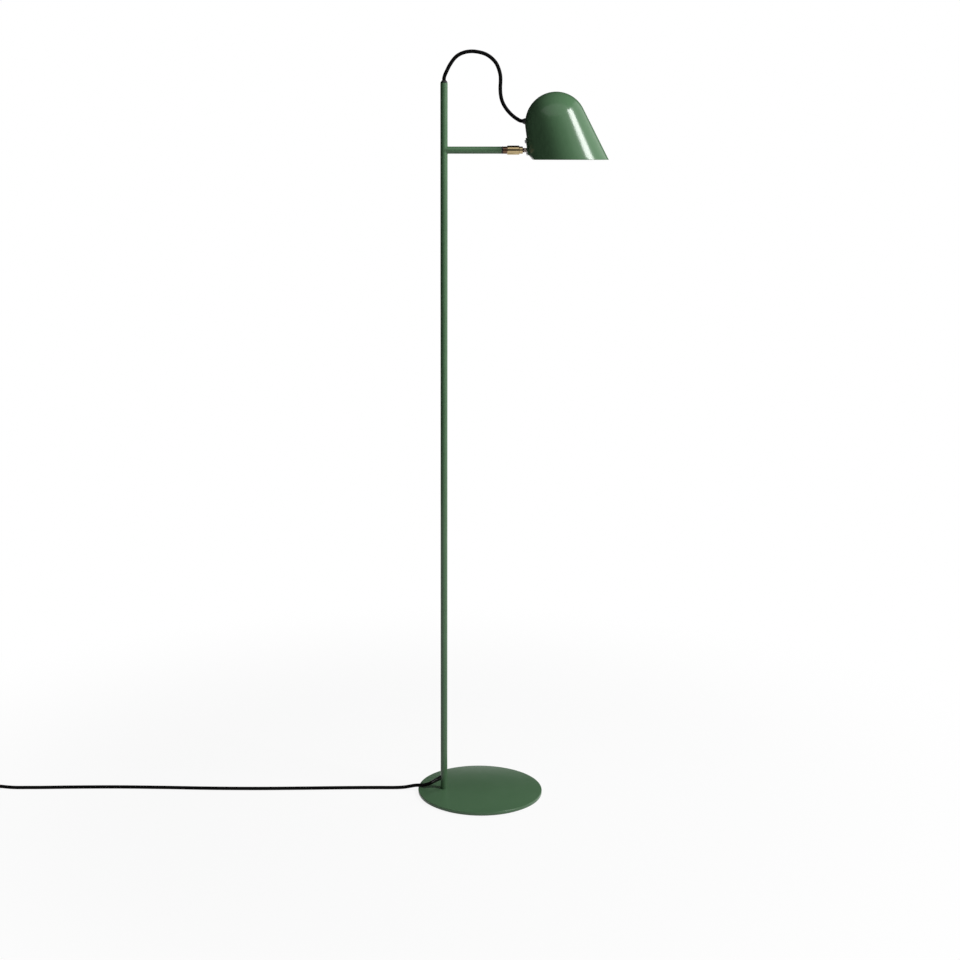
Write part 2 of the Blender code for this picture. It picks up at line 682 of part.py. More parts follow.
def make_tilt_plate():
    """The plate on the shade's back, with the lug that turns in the fork."""
    height = PLATE_UP + PLATE_DOWN
    outline = rounded_box(height, PLATE_WIDTH, PLATE_CORNER)
    plate = extruded("tilt_plate", [outline], PLATE_THICKNESS, "green_paint")
    middle = on_wall((PLATE_UP - PLATE_DOWN) / 2, GAP + PLATE_THICKNESS / 2)
    plate = as_mesh(put(plate, middle, WALL_OUT))
    base = SHADE_STANDOFF - GAP - PLATE_THICKNESS / 2
    tip = arc((0, 0), LUG_RADIUS, math.pi, 0, EAR_POINTS)
    lug_outline = [(-LUG_RADIUS, -base)] + tip + [(LUG_RADIUS, -base)]
    lug = extruded("tilt_lug", [lug_outline], LUG_THICKNESS)
    lug = as_mesh(put(lug, PIVOT, (0, -1, 0), WALL_OUT))
    combine(plate, lug, "UNION")
    combine(plate, rod("lug_pin_hole", PIVOT_RADIUS + GAP, 2 * LUG_THICKNESS, PIVOT, (0, 1, 0)))
    for place, hole in shade_screw_holes("plate"):
        combine(plate, hole)
    return plate


def shade_screw_holes(use):
    """A cutter for each shade screw's hole."""
    radius = SHADE_SCREW_RADIUS + GAP
    return [
        (place, rod(f"{use}_{place}_hole", radius, HOLE_REACH, on_wall(up, 0), WALL_OUT))
        for place, up in SHADE_SCREW_PLACES.items()
    ]


def make_shade_screws():
    seat = 2 * GAP + PLATE_THICKNESS
    nut_seat = -BRACKET_SEAT - BRACKET_THICKNESS - GAP
    made = []
    for place, up in SHADE_SCREW_PLACES.items():
        length = seat - nut_seat + SHADE_NUT_LENGTH
        screw = cap_screw(f"shade_screw_{place}", SHADE_SCREW_RADIUS, length, SHADE_SCREW_HEAD_RADIUS,
                          SHADE_SCREW_HEAD, "steel")
        nut = hex_nut(f"shade_nut_{place}", SHADE_NUT_RADIUS, SHADE_SCREW_RADIUS + GAP,
                      SHADE_NUT_LENGTH, "steel")
        made.append(put(screw, on_wall(up, seat), WALL_OUT))
        made.append(put(nut, on_wall(up, nut_seat), -WALL_OUT))
    return made


def dome_side(radius, low):
    """The dome's arc and the cone below it, down to low, for an outer or inner surface of that radius."""
    curve = arc((0, 0), radius, math.pi / 2, SHADE_HALF_ANGLE, DOME_POINTS)
    drop = radius * math.sin(SHADE_HALF_ANGLE) - low
    return [(0, radius)] + curve[1:] + [(curve[-1][0] + drop * math.tan(SHADE_HALF_ANGLE), low)]


def make_shade():
    rim_level = DOME_CENTRE.z - RIM_Z
    widest = 2 * SHADE_RADIUS
    low = -(rim_level + widest * math.sin(SHADE_TILT)) / math.cos(SHADE_TILT) - SKIRT_SPARE
    outer, inner = dome_side(SHADE_RADIUS, low), dome_side(SHADE_RADIUS - SHADE_THICKNESS, low)
    shade = turned("shade", outer + inner[::-1], "green_paint", SHADE_STEPS)
    put(shade, DOME_CENTRE, AXIS_UP)
    size = 6 * SHADE_RADIUS
    below = (DOME_CENTRE.x, 0, RIM_Z - size / 2)
    combine(shade, block("rim_cut", (size, size, size), below))
    downback = Vector((-1, 0, -1)).normalized()
    corner = on_wall(-BACK_CUT_DROP / math.cos(WALL_LEAN), 0)
    back_size = (2 * SHADE_RADIUS, BACK_CUT_SIZE, BACK_CUT_SIZE)
    back = block("back_cut", back_size, corner + downback * BACK_CUT_SIZE / 2, downback, (1, 0, -1))
    combine(shade, back)
    hole_radius = GROMMET_NECK_RADIUS + GAP
    on_dome = DOME_CENTRE + GROMMET_OUTWARD * SHADE_RADIUS
    combine(shade, rod("grommet_hole", hole_radius, HOLE_REACH, on_dome, GROMMET_OUTWARD))
    for place, hole in shade_screw_holes("shade"):
        combine(shade, hole)
    return shade


def make_grommet():
    sag = GROMMET_FLANGE_RADIUS**2 / (2 * SHADE_RADIUS)
    inner_top = -SHADE_THICKNESS - GAP - sag - GAP
    inner_end = inner_top - GROMMET_FLANGE
    profile = [
        (GROMMET_TIP_RADIUS, GROMMET_OUT), (GROMMET_FLANGE_RADIUS, GAP + GROMMET_FLANGE),
        (GROMMET_FLANGE_RADIUS, GAP), (GROMMET_NECK_RADIUS, GAP), (GROMMET_NECK_RADIUS, inner_top),
        (GROMMET_FLANGE_RADIUS, inner_top), (GROMMET_FLANGE_RADIUS, inner_end), (CORD_BORE, inner_end),
        (CORD_BORE, GROMMET_OUT),
    ]
    grommet = turned("shade_grommet", profile, "black_plastic", SMALL_STEPS)
    return put(grommet, DOME_CENTRE + GROMMET_OUTWARD * SHADE_RADIUS, GROMMET_OUTWARD)


def make_shade_lead():
    """The lead inside the shade, from the grommet's outer face to the side of the lampholder's cap."""
    start = DOME_CENTRE + GROMMET_OUTWARD * (SHADE_RADIUS + GROMMET_OUT)
    inside = DOME_CENTRE + GROMMET_OUTWARD * (SHADE_RADIUS - 2 * CORD_DIAMETER)
    end = on_axis(HOLDER_TOP + HOLDER_CAP_LENGTH / 2) + AXIS_BACK * (HOLDER_RADIUS + GAP)
    before_end = end + AXIS_BACK * CORD_DIAMETER
    between = [(start + inside) / 2, inside, (inside + before_end) / 2]
    route = smooth_route([start, *between, before_end, end], LEAD_SPACING)
    return tube("shade_lead", route, CORD_RADIUS, "black_textile")


def along_axis(made, down):
    """Puts a turned piece on the shade's axis, its local Z 0 that far below the dome's centre."""
    return put(made, on_axis(down), AXIS_UP)


def make_lampholder():
    cap_end = HOLDER_TOP + HOLDER_CAP_LENGTH
    edge = HOLDER_EDGE
    cap = [(0, HOLDER_CAP_LENGTH), (HOLDER_RADIUS - edge, HOLDER_CAP_LENGTH),
           (HOLDER_RADIUS, HOLDER_CAP_LENGTH - edge), (HOLDER_RADIUS, 0), (0, 0)]
    made = [along_axis(turned("lampholder_cap", cap, "black_plastic"), cap_end)]
    length, bore = HOLDER_SKIRT_LENGTH, BULB_CAP_RADIUS + GAP
    skirt = [(0, length), (HOLDER_RADIUS, length), (HOLDER_RADIUS, 0), (bore, 0),
             (bore, length - HOLDER_FLOOR), (0, length - HOLDER_FLOOR)]
    made.append(along_axis(turned("lampholder_skirt", skirt, "black_plastic"), cap_end + GAP + length))
    ring = ring_profile(RING_RADIUS, HOLDER_RADIUS + GAP, RING_LENGTH, 0, 2 * GAP)
    half = BRACKET_RING_THICKNESS / 2 + GAP
    for place, level in (("upper", BRACKET_LEVEL - half), ("lower", BRACKET_LEVEL + half + RING_LENGTH)):
        made.append(along_axis(turned(f"lampholder_ring_{place}", ring, "black_plastic"), level))
    return made + [make_bracket()]


def make_bracket():
    """A strip down the shade's wall and across to a ring that the lampholder's rings clamp."""
    half = BRACKET_THICKNESS / 2
    depth = -BRACKET_SEAT - half
    foot = on_wall(-PLATE_DOWN, depth)
    centre = on_axis(BRACKET_LEVEL)
    rise = (centre - foot).dot(AXIS_UP) / WALL_UP.dot(AXIS_UP)
    corner = foot + WALL_UP * rise
    ring_side = centre + AXIS_BACK * (HOLDER_RADIUS + BRACKET_RING_RADIUS) / 2
    mitre = (WALL_OUT + AXIS_UP) / (1 + WALL_OUT.dot(AXIS_UP)) * half
    outline = [
        foot + WALL_OUT * half, corner + mitre, ring_side + AXIS_UP * half, ring_side - AXIS_UP * half,
        corner - mitre, foot - WALL_OUT * half,
    ]
    strip = extruded("lampholder_bracket", [[(p.x, p.z) for p in outline]], BRACKET_WIDTH, "steel")
    strip = as_mesh(put(strip, (0, 0, 0), (0, -1, 0), (0, 0, 1)))
    thick = BRACKET_RING_THICKNESS
    ring = turned("bracket_ring", ring_profile(BRACKET_RING_RADIUS, HOLDER_RADIUS + GAP, thick, 0))
    combine(strip, along_axis(ring, BRACKET_LEVEL + thick / 2), "UNION")
    for place, hole in shade_screw_holes("bracket"):
        combine(strip, hole)
    return strip


def make_bulb():
    top = HOLDER_TOP + HOLDER_CAP_LENGTH + GAP + HOLDER_FLOOR + GAP
    long = HOLDER_SKIRT_LENGTH - HOLDER_FLOOR - GAP + BULB_CAP_PROUD
    cap = [(0, long), (BULB_CAP_RADIUS / 2, long), (BULB_CAP_RADIUS, long - BULB_CAP_RADIUS / 2),
           (BULB_CAP_RADIUS, 0), (0, 0)]
    glass_top = top + long + GAP
    centre = -(BULB_LENGTH - BULB_RADIUS)
    neck = math.acos(BULB_NECK_RADIUS / BULB_RADIUS)
    glass = [(0, 0), (BULB_NECK_RADIUS, 0)] + arc((0, centre), BULB_RADIUS, neck, -math.pi / 2, BULB_POINTS)
    glass[-1] = (0, -BULB_LENGTH)
    return [
        along_axis(turned("bulb_cap", cap, "steel"), top + long),
        along_axis(turned("bulb_glass", glass, "opal_glass"), glass_top),
    ]


def make_cords():
    tube("upper_cable", smooth_route(LOOP_ROUTE, LOOP_SPACING), CORD_RADIUS, "black_textile")
    tube("mains_cord", smooth_route(MAINS_ROUTE, CORD_SPACING), CORD_RADIUS, "black_textile")
    tube("mains_cord_second", smooth_route(SECOND_ROUTE, CORD_SPACING), CORD_RADIUS, "black_textile")
    tube("mains_cord_tail", smooth_route(TAIL_ROUTE, CORD_SPACING), CORD_RADIUS, "black_textile")
    height = 2 * CORD_RADIUS + COIL_LAYER_RISE
    slope = CORD_RADIUS / 2
    profile = [
        (COIL_OUTER - 2 * slope, height), (COIL_OUTER, CORD_DIAMETER), (COIL_OUTER, 0), (COIL_INNER, 0),
        (COIL_INNER, CORD_DIAMETER), (COIL_INNER + 2 * slope, height),
    ]
    coil = turned("mains_cord_coil", profile, "black_textile", SHADE_STEPS)
    put(coil, COIL_CENTRE + Vector((0, 0, COIL_BOTTOM)))
    make_tie(height)


def make_tie(height):
    """A band round the coil."""
    width = COIL_OUTER - COIL_INNER + 4 * GAP
    inner = rounded_box(width, height + 2 * GAP, GAP)
    outer = rounded_box(width + 2 * TIE_THICKNESS, height + 2 * GAP + 2 * TIE_THICKNESS, GAP + TIE_THICKNESS)
    radial = Vector((math.cos(TIE_ANGLE), math.sin(TIE_ANGLE), 0))
    middle = COIL_CENTRE + radial * (COIL_OUTER + COIL_INNER) / 2
    middle.z = COIL_BOTTOM + height / 2
    tie = extruded("cord_tie", [outer, inner], TIE_WIDTH, "black_textile")
    put(tie, middle, radial.cross(Vector((0, 0, 1))), (0, 0, 1))


def switch_envelope(name, finish=None):
    """The foot switch's whole outer shape, with rounded edges."""
    outline = extruded(name, [stadium(SWITCH_LENGTH, SWITCH_WIDTH)], SWITCH_HEIGHT, finish)
    made = as_mesh(put(outline, SWITCH_CENTRE + Vector((0, 0, SWITCH_HEIGHT / 2))))
    bevel(made, SWITCH_EDGE, 3)
    return made


def switch_hollow(name, bottom, top):
    outline = stadium(SWITCH_LENGTH - 2 * SWITCH_WALL, SWITCH_WIDTH - 2 * SWITCH_WALL)
    hollow = extruded(name, [outline], top - bottom)
    return as_mesh(put(hollow, SWITCH_CENTRE + Vector((0, 0, (top + bottom) / 2))))


def make_switch():
    reach = 2 * SWITCH_LENGTH
    split = SWITCH_CENTRE + Vector((0, 0, SWITCH_SPLIT))
    channel = rod("cord_channel", CORD_BORE, reach, split, (1, 0, 0))
    lower = switch_envelope("switch_lower_shell", "black_plastic")
    combine(lower, block("above_split", (reach, reach, reach), split + Vector((0, 0, reach / 2))))
    combine(lower, switch_hollow("lower_hollow", SWITCH_WALL, SWITCH_HEIGHT))
    combine(lower, channel)
    upper = switch_envelope("switch_upper_shell", "black_plastic")
    below = split + Vector((0, 0, GAP - reach / 2))
    combine(upper, block("below_split", (reach, reach, reach), below))
    combine(upper, switch_hollow("upper_hollow", 0, SWITCH_HEIGHT - SWITCH_WALL))
    combine(upper, channel)
    centre_top = SWITCH_CENTRE + Vector((0, 0, SWITCH_HEIGHT))
    combine(upper, rod("button_hole", BUTTON_RADIUS + GAP, 4 * SWITCH_WALL, centre_top, (0, 0, 1),
                       steps=ROUND_STEPS))
    block_height = SWITCH_BLOCK[2]
    middle = SWITCH_CENTRE + Vector((0, 0, SWITCH_WALL + GAP + block_height / 2))
    block("switch_contact_block", SWITCH_BLOCK, middle, finish="white_plastic")
    button = make_button()
    make_switch_spring(SWITCH_WALL + 2 * GAP + block_height)
    return button


def make_button():
    """The foot button, which its flange keeps under the upper shell."""
    flange_top = SWITCH_HEIGHT - SWITCH_WALL - GAP
    bottom = flange_top - BUTTON_FLANGE - BUTTON_SKIRT
    top = SWITCH_HEIGHT + BUTTON_PROUD
    crown = [(BUTTON_RADIUS * share, top - drop) for share, drop in BUTTON_CROWN]
    profile = crown + [
        (BUTTON_RADIUS, flange_top), (BUTTON_FLANGE_RADIUS, flange_top), (BUTTON_FLANGE_RADIUS, bottom),
        (BUTTON_HOLLOW_RADIUS, bottom), (BUTTON_HOLLOW_RADIUS, top - BUTTON_TOP), (0, top - BUTTON_TOP),
    ]
    return put(turned("switch_button", profile, "black_plastic"), SWITCH_CENTRE)


def make_switch_spring(bottom):
    top = SWITCH_HEIGHT + BUTTON_PROUD - BUTTON_TOP - GAP - SPRING_WIRE
    low = bottom + SPRING_WIRE
    count = SPRING_TURNS * SPRING_TURN_POINTS
    points = []
    for i in range(count + 1):
        angle = 2 * math.pi * i / SPRING_TURN_POINTS
        circle = Vector((math.cos(angle), math.sin(angle), 0)) * SPRING_RADIUS
        points.append(SWITCH_CENTRE + circle + Vector((0, 0, low + (top - low) * i / count)))
    tube("switch_spring", points, SPRING_WIRE, "steel", 1)


def make_plug():
    """A flat two-pin plug lying beside the coil, with the boot that the cord goes into."""
    long, wide, thick = PLUG_BODY
    boot = [(0, 0), (BOOT_RADIUS, 0), (BOOT_END_RADIUS, -BOOT_LENGTH), (0, -BOOT_LENGTH)]
    made = turned("plug_boot", boot, "black_plastic", SMALL_STEPS)
    put(made, (PLUG_X - GAP, TAIL_Y, TAIL_Z), (1, 0, 0))
    taper = PLUG_TAPER
    outline = [
        (0, PLUG_CORD_WIDTH / 2), (0, -PLUG_CORD_WIDTH / 2), (taper, -wide / 2), (long, -wide / 2),
        (long, wide / 2), (taper, wide / 2),
    ]
    body = as_mesh(put(extruded("plug_body", [outline], thick, "black_plastic"), (PLUG_X, TAIL_Y, TAIL_Z)))
    bevel(body, PLUG_EDGE)
    for side, sign in (("left", 1), ("right", -1)):
        start = Vector((PLUG_X + long + GAP + PIN_LENGTH / 2, TAIL_Y + sign * PIN_SPACING / 2, TAIL_Z))
        rod(f"plug_pin_{side}", PIN_RADIUS, PIN_LENGTH, start, (1, 0, 0), "brass")


def make_stand():
    make_foot()
    make_pole()
    make_strain_relief()
    make_inner_lead()
    make_arm()


def make_head():
    plate = make_tilt_plate()
    shade = [make_shade(), make_grommet(), make_shade_lead()]
    return [plate, *shade, *make_shade_screws(), *make_lampholder(), *make_bulb()]


def main():
    make_stand()
    swivel_axis = pivot_empty("head_swivel_axis", (BARREL_START, 0, ARM_HEIGHT))
    tilt_axis = pivot_empty("head_tilt_axis", PIVOT)
    carry(swivel_axis, *make_swivel(), *make_tilt_screw(), tilt_axis)
    carry(tilt_axis, *make_head())
    make_cords()
    carry(pivot_empty("foot_button_axis", SWITCH_CENTRE), make_switch())
    make_plug()


clear_scene()
parts = new_collection(LAMP)
cutters = new_collection("cutters")
main()
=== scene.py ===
# Adjustable arm floor lamp: the finished looks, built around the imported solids.
# Metres, +Z up; the origin is on the floor, on the pole's axis, and the arm points along +X.

import math

import bmesh
import bpy
from mathutils import Matrix, Vector


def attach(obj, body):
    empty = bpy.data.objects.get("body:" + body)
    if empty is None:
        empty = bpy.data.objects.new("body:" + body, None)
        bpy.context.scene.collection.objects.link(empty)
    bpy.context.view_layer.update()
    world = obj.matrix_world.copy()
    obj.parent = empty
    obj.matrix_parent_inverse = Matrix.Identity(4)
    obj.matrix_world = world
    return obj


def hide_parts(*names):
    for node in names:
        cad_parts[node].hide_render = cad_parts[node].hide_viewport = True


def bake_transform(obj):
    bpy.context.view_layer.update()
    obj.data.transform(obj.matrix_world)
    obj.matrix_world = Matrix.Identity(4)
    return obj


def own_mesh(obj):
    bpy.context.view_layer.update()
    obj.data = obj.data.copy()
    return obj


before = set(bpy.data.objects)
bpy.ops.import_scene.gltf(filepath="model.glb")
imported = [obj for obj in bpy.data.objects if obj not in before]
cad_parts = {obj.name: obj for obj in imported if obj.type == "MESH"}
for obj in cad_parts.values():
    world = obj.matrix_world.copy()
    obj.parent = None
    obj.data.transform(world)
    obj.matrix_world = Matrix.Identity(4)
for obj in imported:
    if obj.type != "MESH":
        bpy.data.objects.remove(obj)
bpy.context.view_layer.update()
upward = Vector((0, 0, 1))
print("frame loaded:", len(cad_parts), "solids")


class Signal:
    # a socket's value; arithmetic on it makes the nodes
    def __init__(self, nodes, output):
        self.nodes, self.output = nodes, output

    def also(self, name):
        return Signal(self.nodes, self.output.node.outputs[name])

    def maths(self, operation, *values):
        return self.nodes.add("Math", {"operation": operation}, dict(enumerate(values)))

    def __add__(self, other):
        return self.maths("ADD", self, other)

    def __radd__(self, other):
        return self.maths("ADD", other, self)

    def __sub__(self, other):
        return self.maths("SUBTRACT", self, other)

    def __rsub__(self, other):
        return self.maths("SUBTRACT", other, self)

    def __mul__(self, other):
        return self.maths("MULTIPLY", self, other)

    def __rmul__(self, other):
        return self.maths("MULTIPLY", other, self)

    def __pow__(self, other):
        return self.maths("POWER", self, other)

    def __rpow__(self, other):
        return self.maths("POWER", other, self)

    def sine(self):
        return self.maths("SINE", self)

    def size(self):
        return self.maths("ABSOLUTE", self)

    def atMost(self, limit):
        return self.maths("MINIMUM", self, limit)

    def smoothFrom(self, low, high):
        return self.nodes.add("MapRange", {"interpolation_type": "SMOOTHSTEP"},
                              {"Value": self, "From Min": low, "From Max": high})


class Nodes:
    def __init__(self, tree):
        self.tree = tree

    def feed(self, slot, value):
        if isinstance(value, Signal):
            self.tree.links.new(value.output, slot)
        else:
            slot.default_value = value

    # any node: its kind, the settings that are set first, and the values or links of its sockets
    def add(self, kind, settings=None, sockets=None, output=0):
        node = self.tree.nodes.new("ShaderNode" + kind)
        for name, value in (settings or {}).items():
            setattr(node, name, value)
        for name, value in (sockets or {}).items():
            self.feed(node.inputs[name], value)
        return Signal(self, node.outputs[output])

    def place(self, stretch=None):
        spot = self.add("TexCoord", output="Object")
        if not stretch:
            return spot
        return self.add("VectorMath", {"operation": "MULTIPLY"}, {0: spot, 1: stretch})

    def grain(self, scale, detail=3, stretch=None):
        where = self.place(stretch)
        return self.add("TexNoise", sockets={"Vector": where, "Scale": scale, "Detail": detail})

    def blendOf(self, amount, first, second):
        colours = {0: amount, 6: (*first, 1), 7: (*second, 1)}
        return self.add("Mix", {"data_type": "RGBA"}, colours, 2)

    def backgroundRays(self):
        # rays that see the plain white background: from the camera, off metal and through glass
        rays = self.add("LightPath", output="Is Camera Ray")
        return (rays + rays.also("Is Glossy Ray") + rays.also("Is Transmission Ray")).atMost(1.0)


class Finish(Nodes):
    def __init__(self, name, roughness, metallic=0.0, **constants):
        self.material = bpy.data.materials.new(name)
        self.material.use_nodes = True
        super().__init__(self.material.node_tree)
        self.shader = self.tree.nodes["Principled BSDF"]
        self.wear("Roughness", roughness)
        self.wear("Metallic", metallic)
        for constant, value in constants.items():
            self.wear(constant.replace("_", " "), value)

    def wear(self, slot, value):
        self.feed(self.shader.inputs[slot], value)

    def colour(self, amount, look):
        self.wear("Base Color", self.blendOf(amount, look["dark"], look["light"]))

    def relief(self, height, strength, distance):
        bump = {"Height": height, "Strength": strength, "Distance": distance}
        self.wear("Normal", self.add("Bump", sockets=bump))


# each look has its two colours and what else a user would change in the finish
paintLook = {
    "dark": (0.057, 0.119, 0.060), "light": (0.065, 0.132, 0.068), "roughness": 0.19, "shine": 0.30,
    "patches": 7, "smears": 60, "peel": 0.04, "peelScale": 850, "peelDepth": 0.0002,
}
brassLook = {"dark": (0.40, 0.30, 0.15), "light": (0.53, 0.42, 0.24), "roughness": 0.15}
# a darker brass for the barrel's neck and the fork's ears
darkBrassLook = {"dark": (0.10, 0.055, 0.035), "light": (0.17, 0.10, 0.065), "roughness": 0.28}
steelLook = {"dark": (0.42, 0.42, 0.43), "light": (0.62, 0.62, 0.64), "roughness": 0.30}
warmSteelLook = {"dark": (0.62, 0.50, 0.45), "light": (0.80, 0.68, 0.62), "roughness": 0.38}
metalMarks = {"lathed": (4200, 40, 40), "brushed": (2600, 300, 300), "strength": 0.03, "depth": 0.00003}
plasticLook = {"dark": (0.004, 0.004, 0.004), "light": (0.008, 0.008, 0.008), "roughness": 0.42}
braidLook = {
    "dark": (0.0008, 0.0008, 0.0008), "light": (0.0040, 0.0040, 0.0041), "roughness": 0.92,
    "slant": 1350.0, "strands": 12, "relief": 0.35, "depth": 0.0003,
}
feltLook = {"dark": (0.010, 0.010, 0.010), "light": (0.035, 0.035, 0.034)}
opalLook = {"dark": (0.86, 0.85, 0.81), "light": (0.92, 0.91, 0.88)}
enamelLook = {"dark": (0.74, 0.74, 0.70), "light": (0.82, 0.82, 0.79)}


def makePaint():
    made = Finish("greenPaint", paintLook["roughness"], Specular_IOR_Level=paintLook["shine"])
    made.colour(made.grain(paintLook["patches"]).smoothFrom(0.3, 0.7), paintLook)
    made.wear("Roughness", paintLook["roughness"] - 0.03 + 0.06 * made.grain(paintLook["smears"]))
    made.relief(made.grain(paintLook["peelScale"], 1), paintLook["peel"], paintLook["peelDepth"])
    return made.material


def makeMetal(name, look, marking):
    # fine marks left by the lathe run round the piece; plain pieces get a fine brushed grain
    made = Finish(name, look["roughness"], 1.0)
    marks = made.grain(1.0, 2, metalMarks[marking])
    made.colour(marks.smoothFrom(0.25, 0.75), look)
    made.wear("Roughness", look["roughness"] - 0.04 + 0.08 * marks)
    made.relief(marks, metalMarks["strength"], metalMarks["depth"])
    return made.material


def makePlastic(name, look, pebble):
    made = Finish(name, look["roughness"], Specular_IOR_Level=0.35)
    made.colour(made.grain(40), look)
    made.wear("Roughness", look["roughness"] - 0.05 + 0.1 * made.grain(220))
    made.relief(made.grain(2600, 2), pebble, 0.0001)
    return made.material


def makeBraid():
    # crossed strands from the tube's own coordinates: along it in metres, and once round it
    made = Finish("blackBraid", 0.85, Specular_IOR_Level=0.06)
    along = made.add("SeparateXYZ", sockets={0: made.add("UVMap", {"uv_map": "braid"})})
    around = along.also("Y") * (math.pi * braidLook["strands"])
    right = (along * braidLook["slant"] + around).sine()
    left = (along * braidLook["slant"] - around).sine()
    strands = (right.size() * left.size()) ** 0.6
    made.colour(strands, braidLook)
    made.wear("Roughness", braidLook["roughness"] - 0.12 * strands)
    made.relief(strands, braidLook["relief"], braidLook["depth"])
    return made.material


def makeCloth(name, look, scale):
    made = Finish(name, 0.95, Sheen_Weight=0.3, Sheen_Roughness=0.6)
    fibres = made.grain(scale, 5)
    made.colour(fibres.smoothFrom(0.3, 0.7), look)
    made.relief(fibres, 0.5, 0.0005)
    return made.material


def makeSmooth(name, look, roughness, **constants):
    made = Finish(name, roughness, **constants)
    made.colour(made.grain(12), look)
    made.wear("Roughness", roughness - 0.02 + 0.04 * made.grain(90))
    return made.material


greenPaint = makePaint()
brass = makeMetal("turnedBrass", brassLook, "lathed")
darkBrass = makeMetal("darkBrass", darkBrassLook, "lathed")
steel = makeMetal("brushedSteel", steelLook, "brushed")
warmSteel = makeMetal("warmSteel", warmSteelLook, "brushed")
blackPlastic = makePlastic("blackPlastic", plasticLook, 0.12)
blackBraid = makeBraid()
blackFelt = makeCloth("blackFelt", feltLook, 1400)
blackWebbing = makeCloth("blackWebbing", feltLook, 2600)
opalGlass = makeSmooth("opalGlass", opalLook, 0.12, Coat_Weight=0.4, Coat_Roughness=0.05)
whiteEnamel = makeSmooth("whiteEnamel", enamelLook, 0.35)
paleMoulding = makeSmooth("paleMoulding", enamelLook, 0.45)
print("finishes made:", len(bpy.data.materials))


def skin(name, rings, loop=False, capped=False, slotOf=None, crease=32):
    # quads between neighbouring rings of points; loop joins the last ring to the first
    count = len(rings[0])
    pairs = len(rings) if loop else len(rings) - 1
    points = [tuple(p) for ring in rings for p in ring]
    faces, slots = [], []
    for i in range(pairs):
        here, there = i * count, (i + 1) % len(rings) * count
        for k in range(count):
            right = (k + 1) % count
            faces.append((here + k, here + right, there + right, there + k))
            slots.append(slotOf(i) if slotOf else 0)
    if capped:
        last = (len(rings) - 1) * count
        faces += [tuple(range(count))[::-1], tuple(range(last, last + count))]
        slots += [0, 0]
    mesh = bpy.data.meshes.new(name)
    mesh.from_pydata(points, [], faces)
    mesh.polygons.foreach_set("material_index", slots)
    return finishMesh(mesh, crease)


def finishMesh(mesh, crease=32):
    shape = bmesh.new()
    shape.from_mesh(mesh)
    bmesh.ops.remove_doubles(shape, verts=shape.verts, dist=1e-6)
    bmesh.ops.recalc_face_normals(shape, faces=shape.faces)
    shape.to_mesh(mesh)
    shape.free()
    mesh.shade_smooth()
    mesh.set_sharp_from_angle(angle=math.radians(crease))
    return mesh


def joined(name, *meshes):
    shape = bmesh.new()
    for mesh in meshes:
        shape.from_mesh(mesh)
    made = bpy.data.meshes.new(name)
    shape.to_mesh(made)
    shape.free()
    return made


def softened(corners, closed=False, count=4):
    # corners are (x, y, radius) or (x, y, radius, kind); each becomes an arc of that radius
    result, total = [], len(corners)
    for i, corner in enumerate(corners):
        x, y, radius = corner[:3]
        kind = corner[3] if len(corner) > 3 else "round"
        before = Vector(corners[i - 1][:2]) - Vector((x, y))
        after = Vector(corners[(i + 1) % total][:2]) - Vector((x, y))
        if radius <= 0 or (not closed and i in (0, total - 1)):
            result.append((x, y, kind))
            continue
        half = before.angle(after) / 2
        reach = min(radius / math.tan(half), before.length * 0.49, after.length * 0.49)
        radius = reach * math.tan(half)
        inward = (before.normalized() + after.normalized()).normalized()
        middle = Vector((x, y)) + inward * radius / math.sin(half)
        start = Vector((x, y)) + before.normalized() * reach - middle
        end = Vector((x, y)) + after.normalized() * reach - middle
        for k in range(count + 1):
            spoke = start.lerp(end, k / count).normalized() * radius
            result.append((*(middle + spoke), kind))
    return result


def radiusShare(kind, angle):
    if kind == "hex":
        return math.cos(math.pi / 6) / math.cos(angle % (math.pi / 3) - math.pi / 6)
    if kind.startswith("ribs"):
        return 1 - 0.018 * (1 + math.cos(int(kind[4:]) * angle))
    return 1.0


def turned(name, corners, steps=72, crease=32, count=4):
    # turns a profile about Z; one that starts off the axis is a closed tube
    tube = corners[0][0] > 0
    rings = []
    for radius, height, kind in softened(corners, tube, count):
        ring = []
        for angle in (2 * math.pi * i / steps for i in range(steps)):
            reach = radius * radiusShare(kind, angle)
            ring.append((reach * math.cos(angle), reach * math.sin(angle), height))
        rings.append(ring)
    return skin(name, rings, loop=tube, crease=crease)


def smoothRoute(points, spacing):
    given = [Vector(p) for p in points]
    spans = [(b - a).length for a, b in zip(given, given[1:])]
    slopes = [(b - a) / s for a, b, s in zip(given, given[1:], spans)]
    tangents = [slopes[0]]
    for i in range(1, len(slopes)):
        both = slopes[i] * spans[i - 1] + slopes[i - 1] * spans[i]
        tangents.append(both / (spans[i - 1] + spans[i]))
    tangents.append(slopes[-1])
    route = []
    for i, span in enumerate(spans):
        pieces = max(1, round(span / spacing))
        for k in range(pieces):
            t = k / pieces
            here = given[i] * (2 * t**3 - 3 * t**2 + 1) + tangents[i] * span * (t**3 - 2 * t**2 + t)
            ahead = given[i + 1] * (3 * t**2 - 2 * t**3) + tangents[i + 1] * span * (t**3 - t**2)
            route.append(here + ahead)
    return route + [given[-1]]


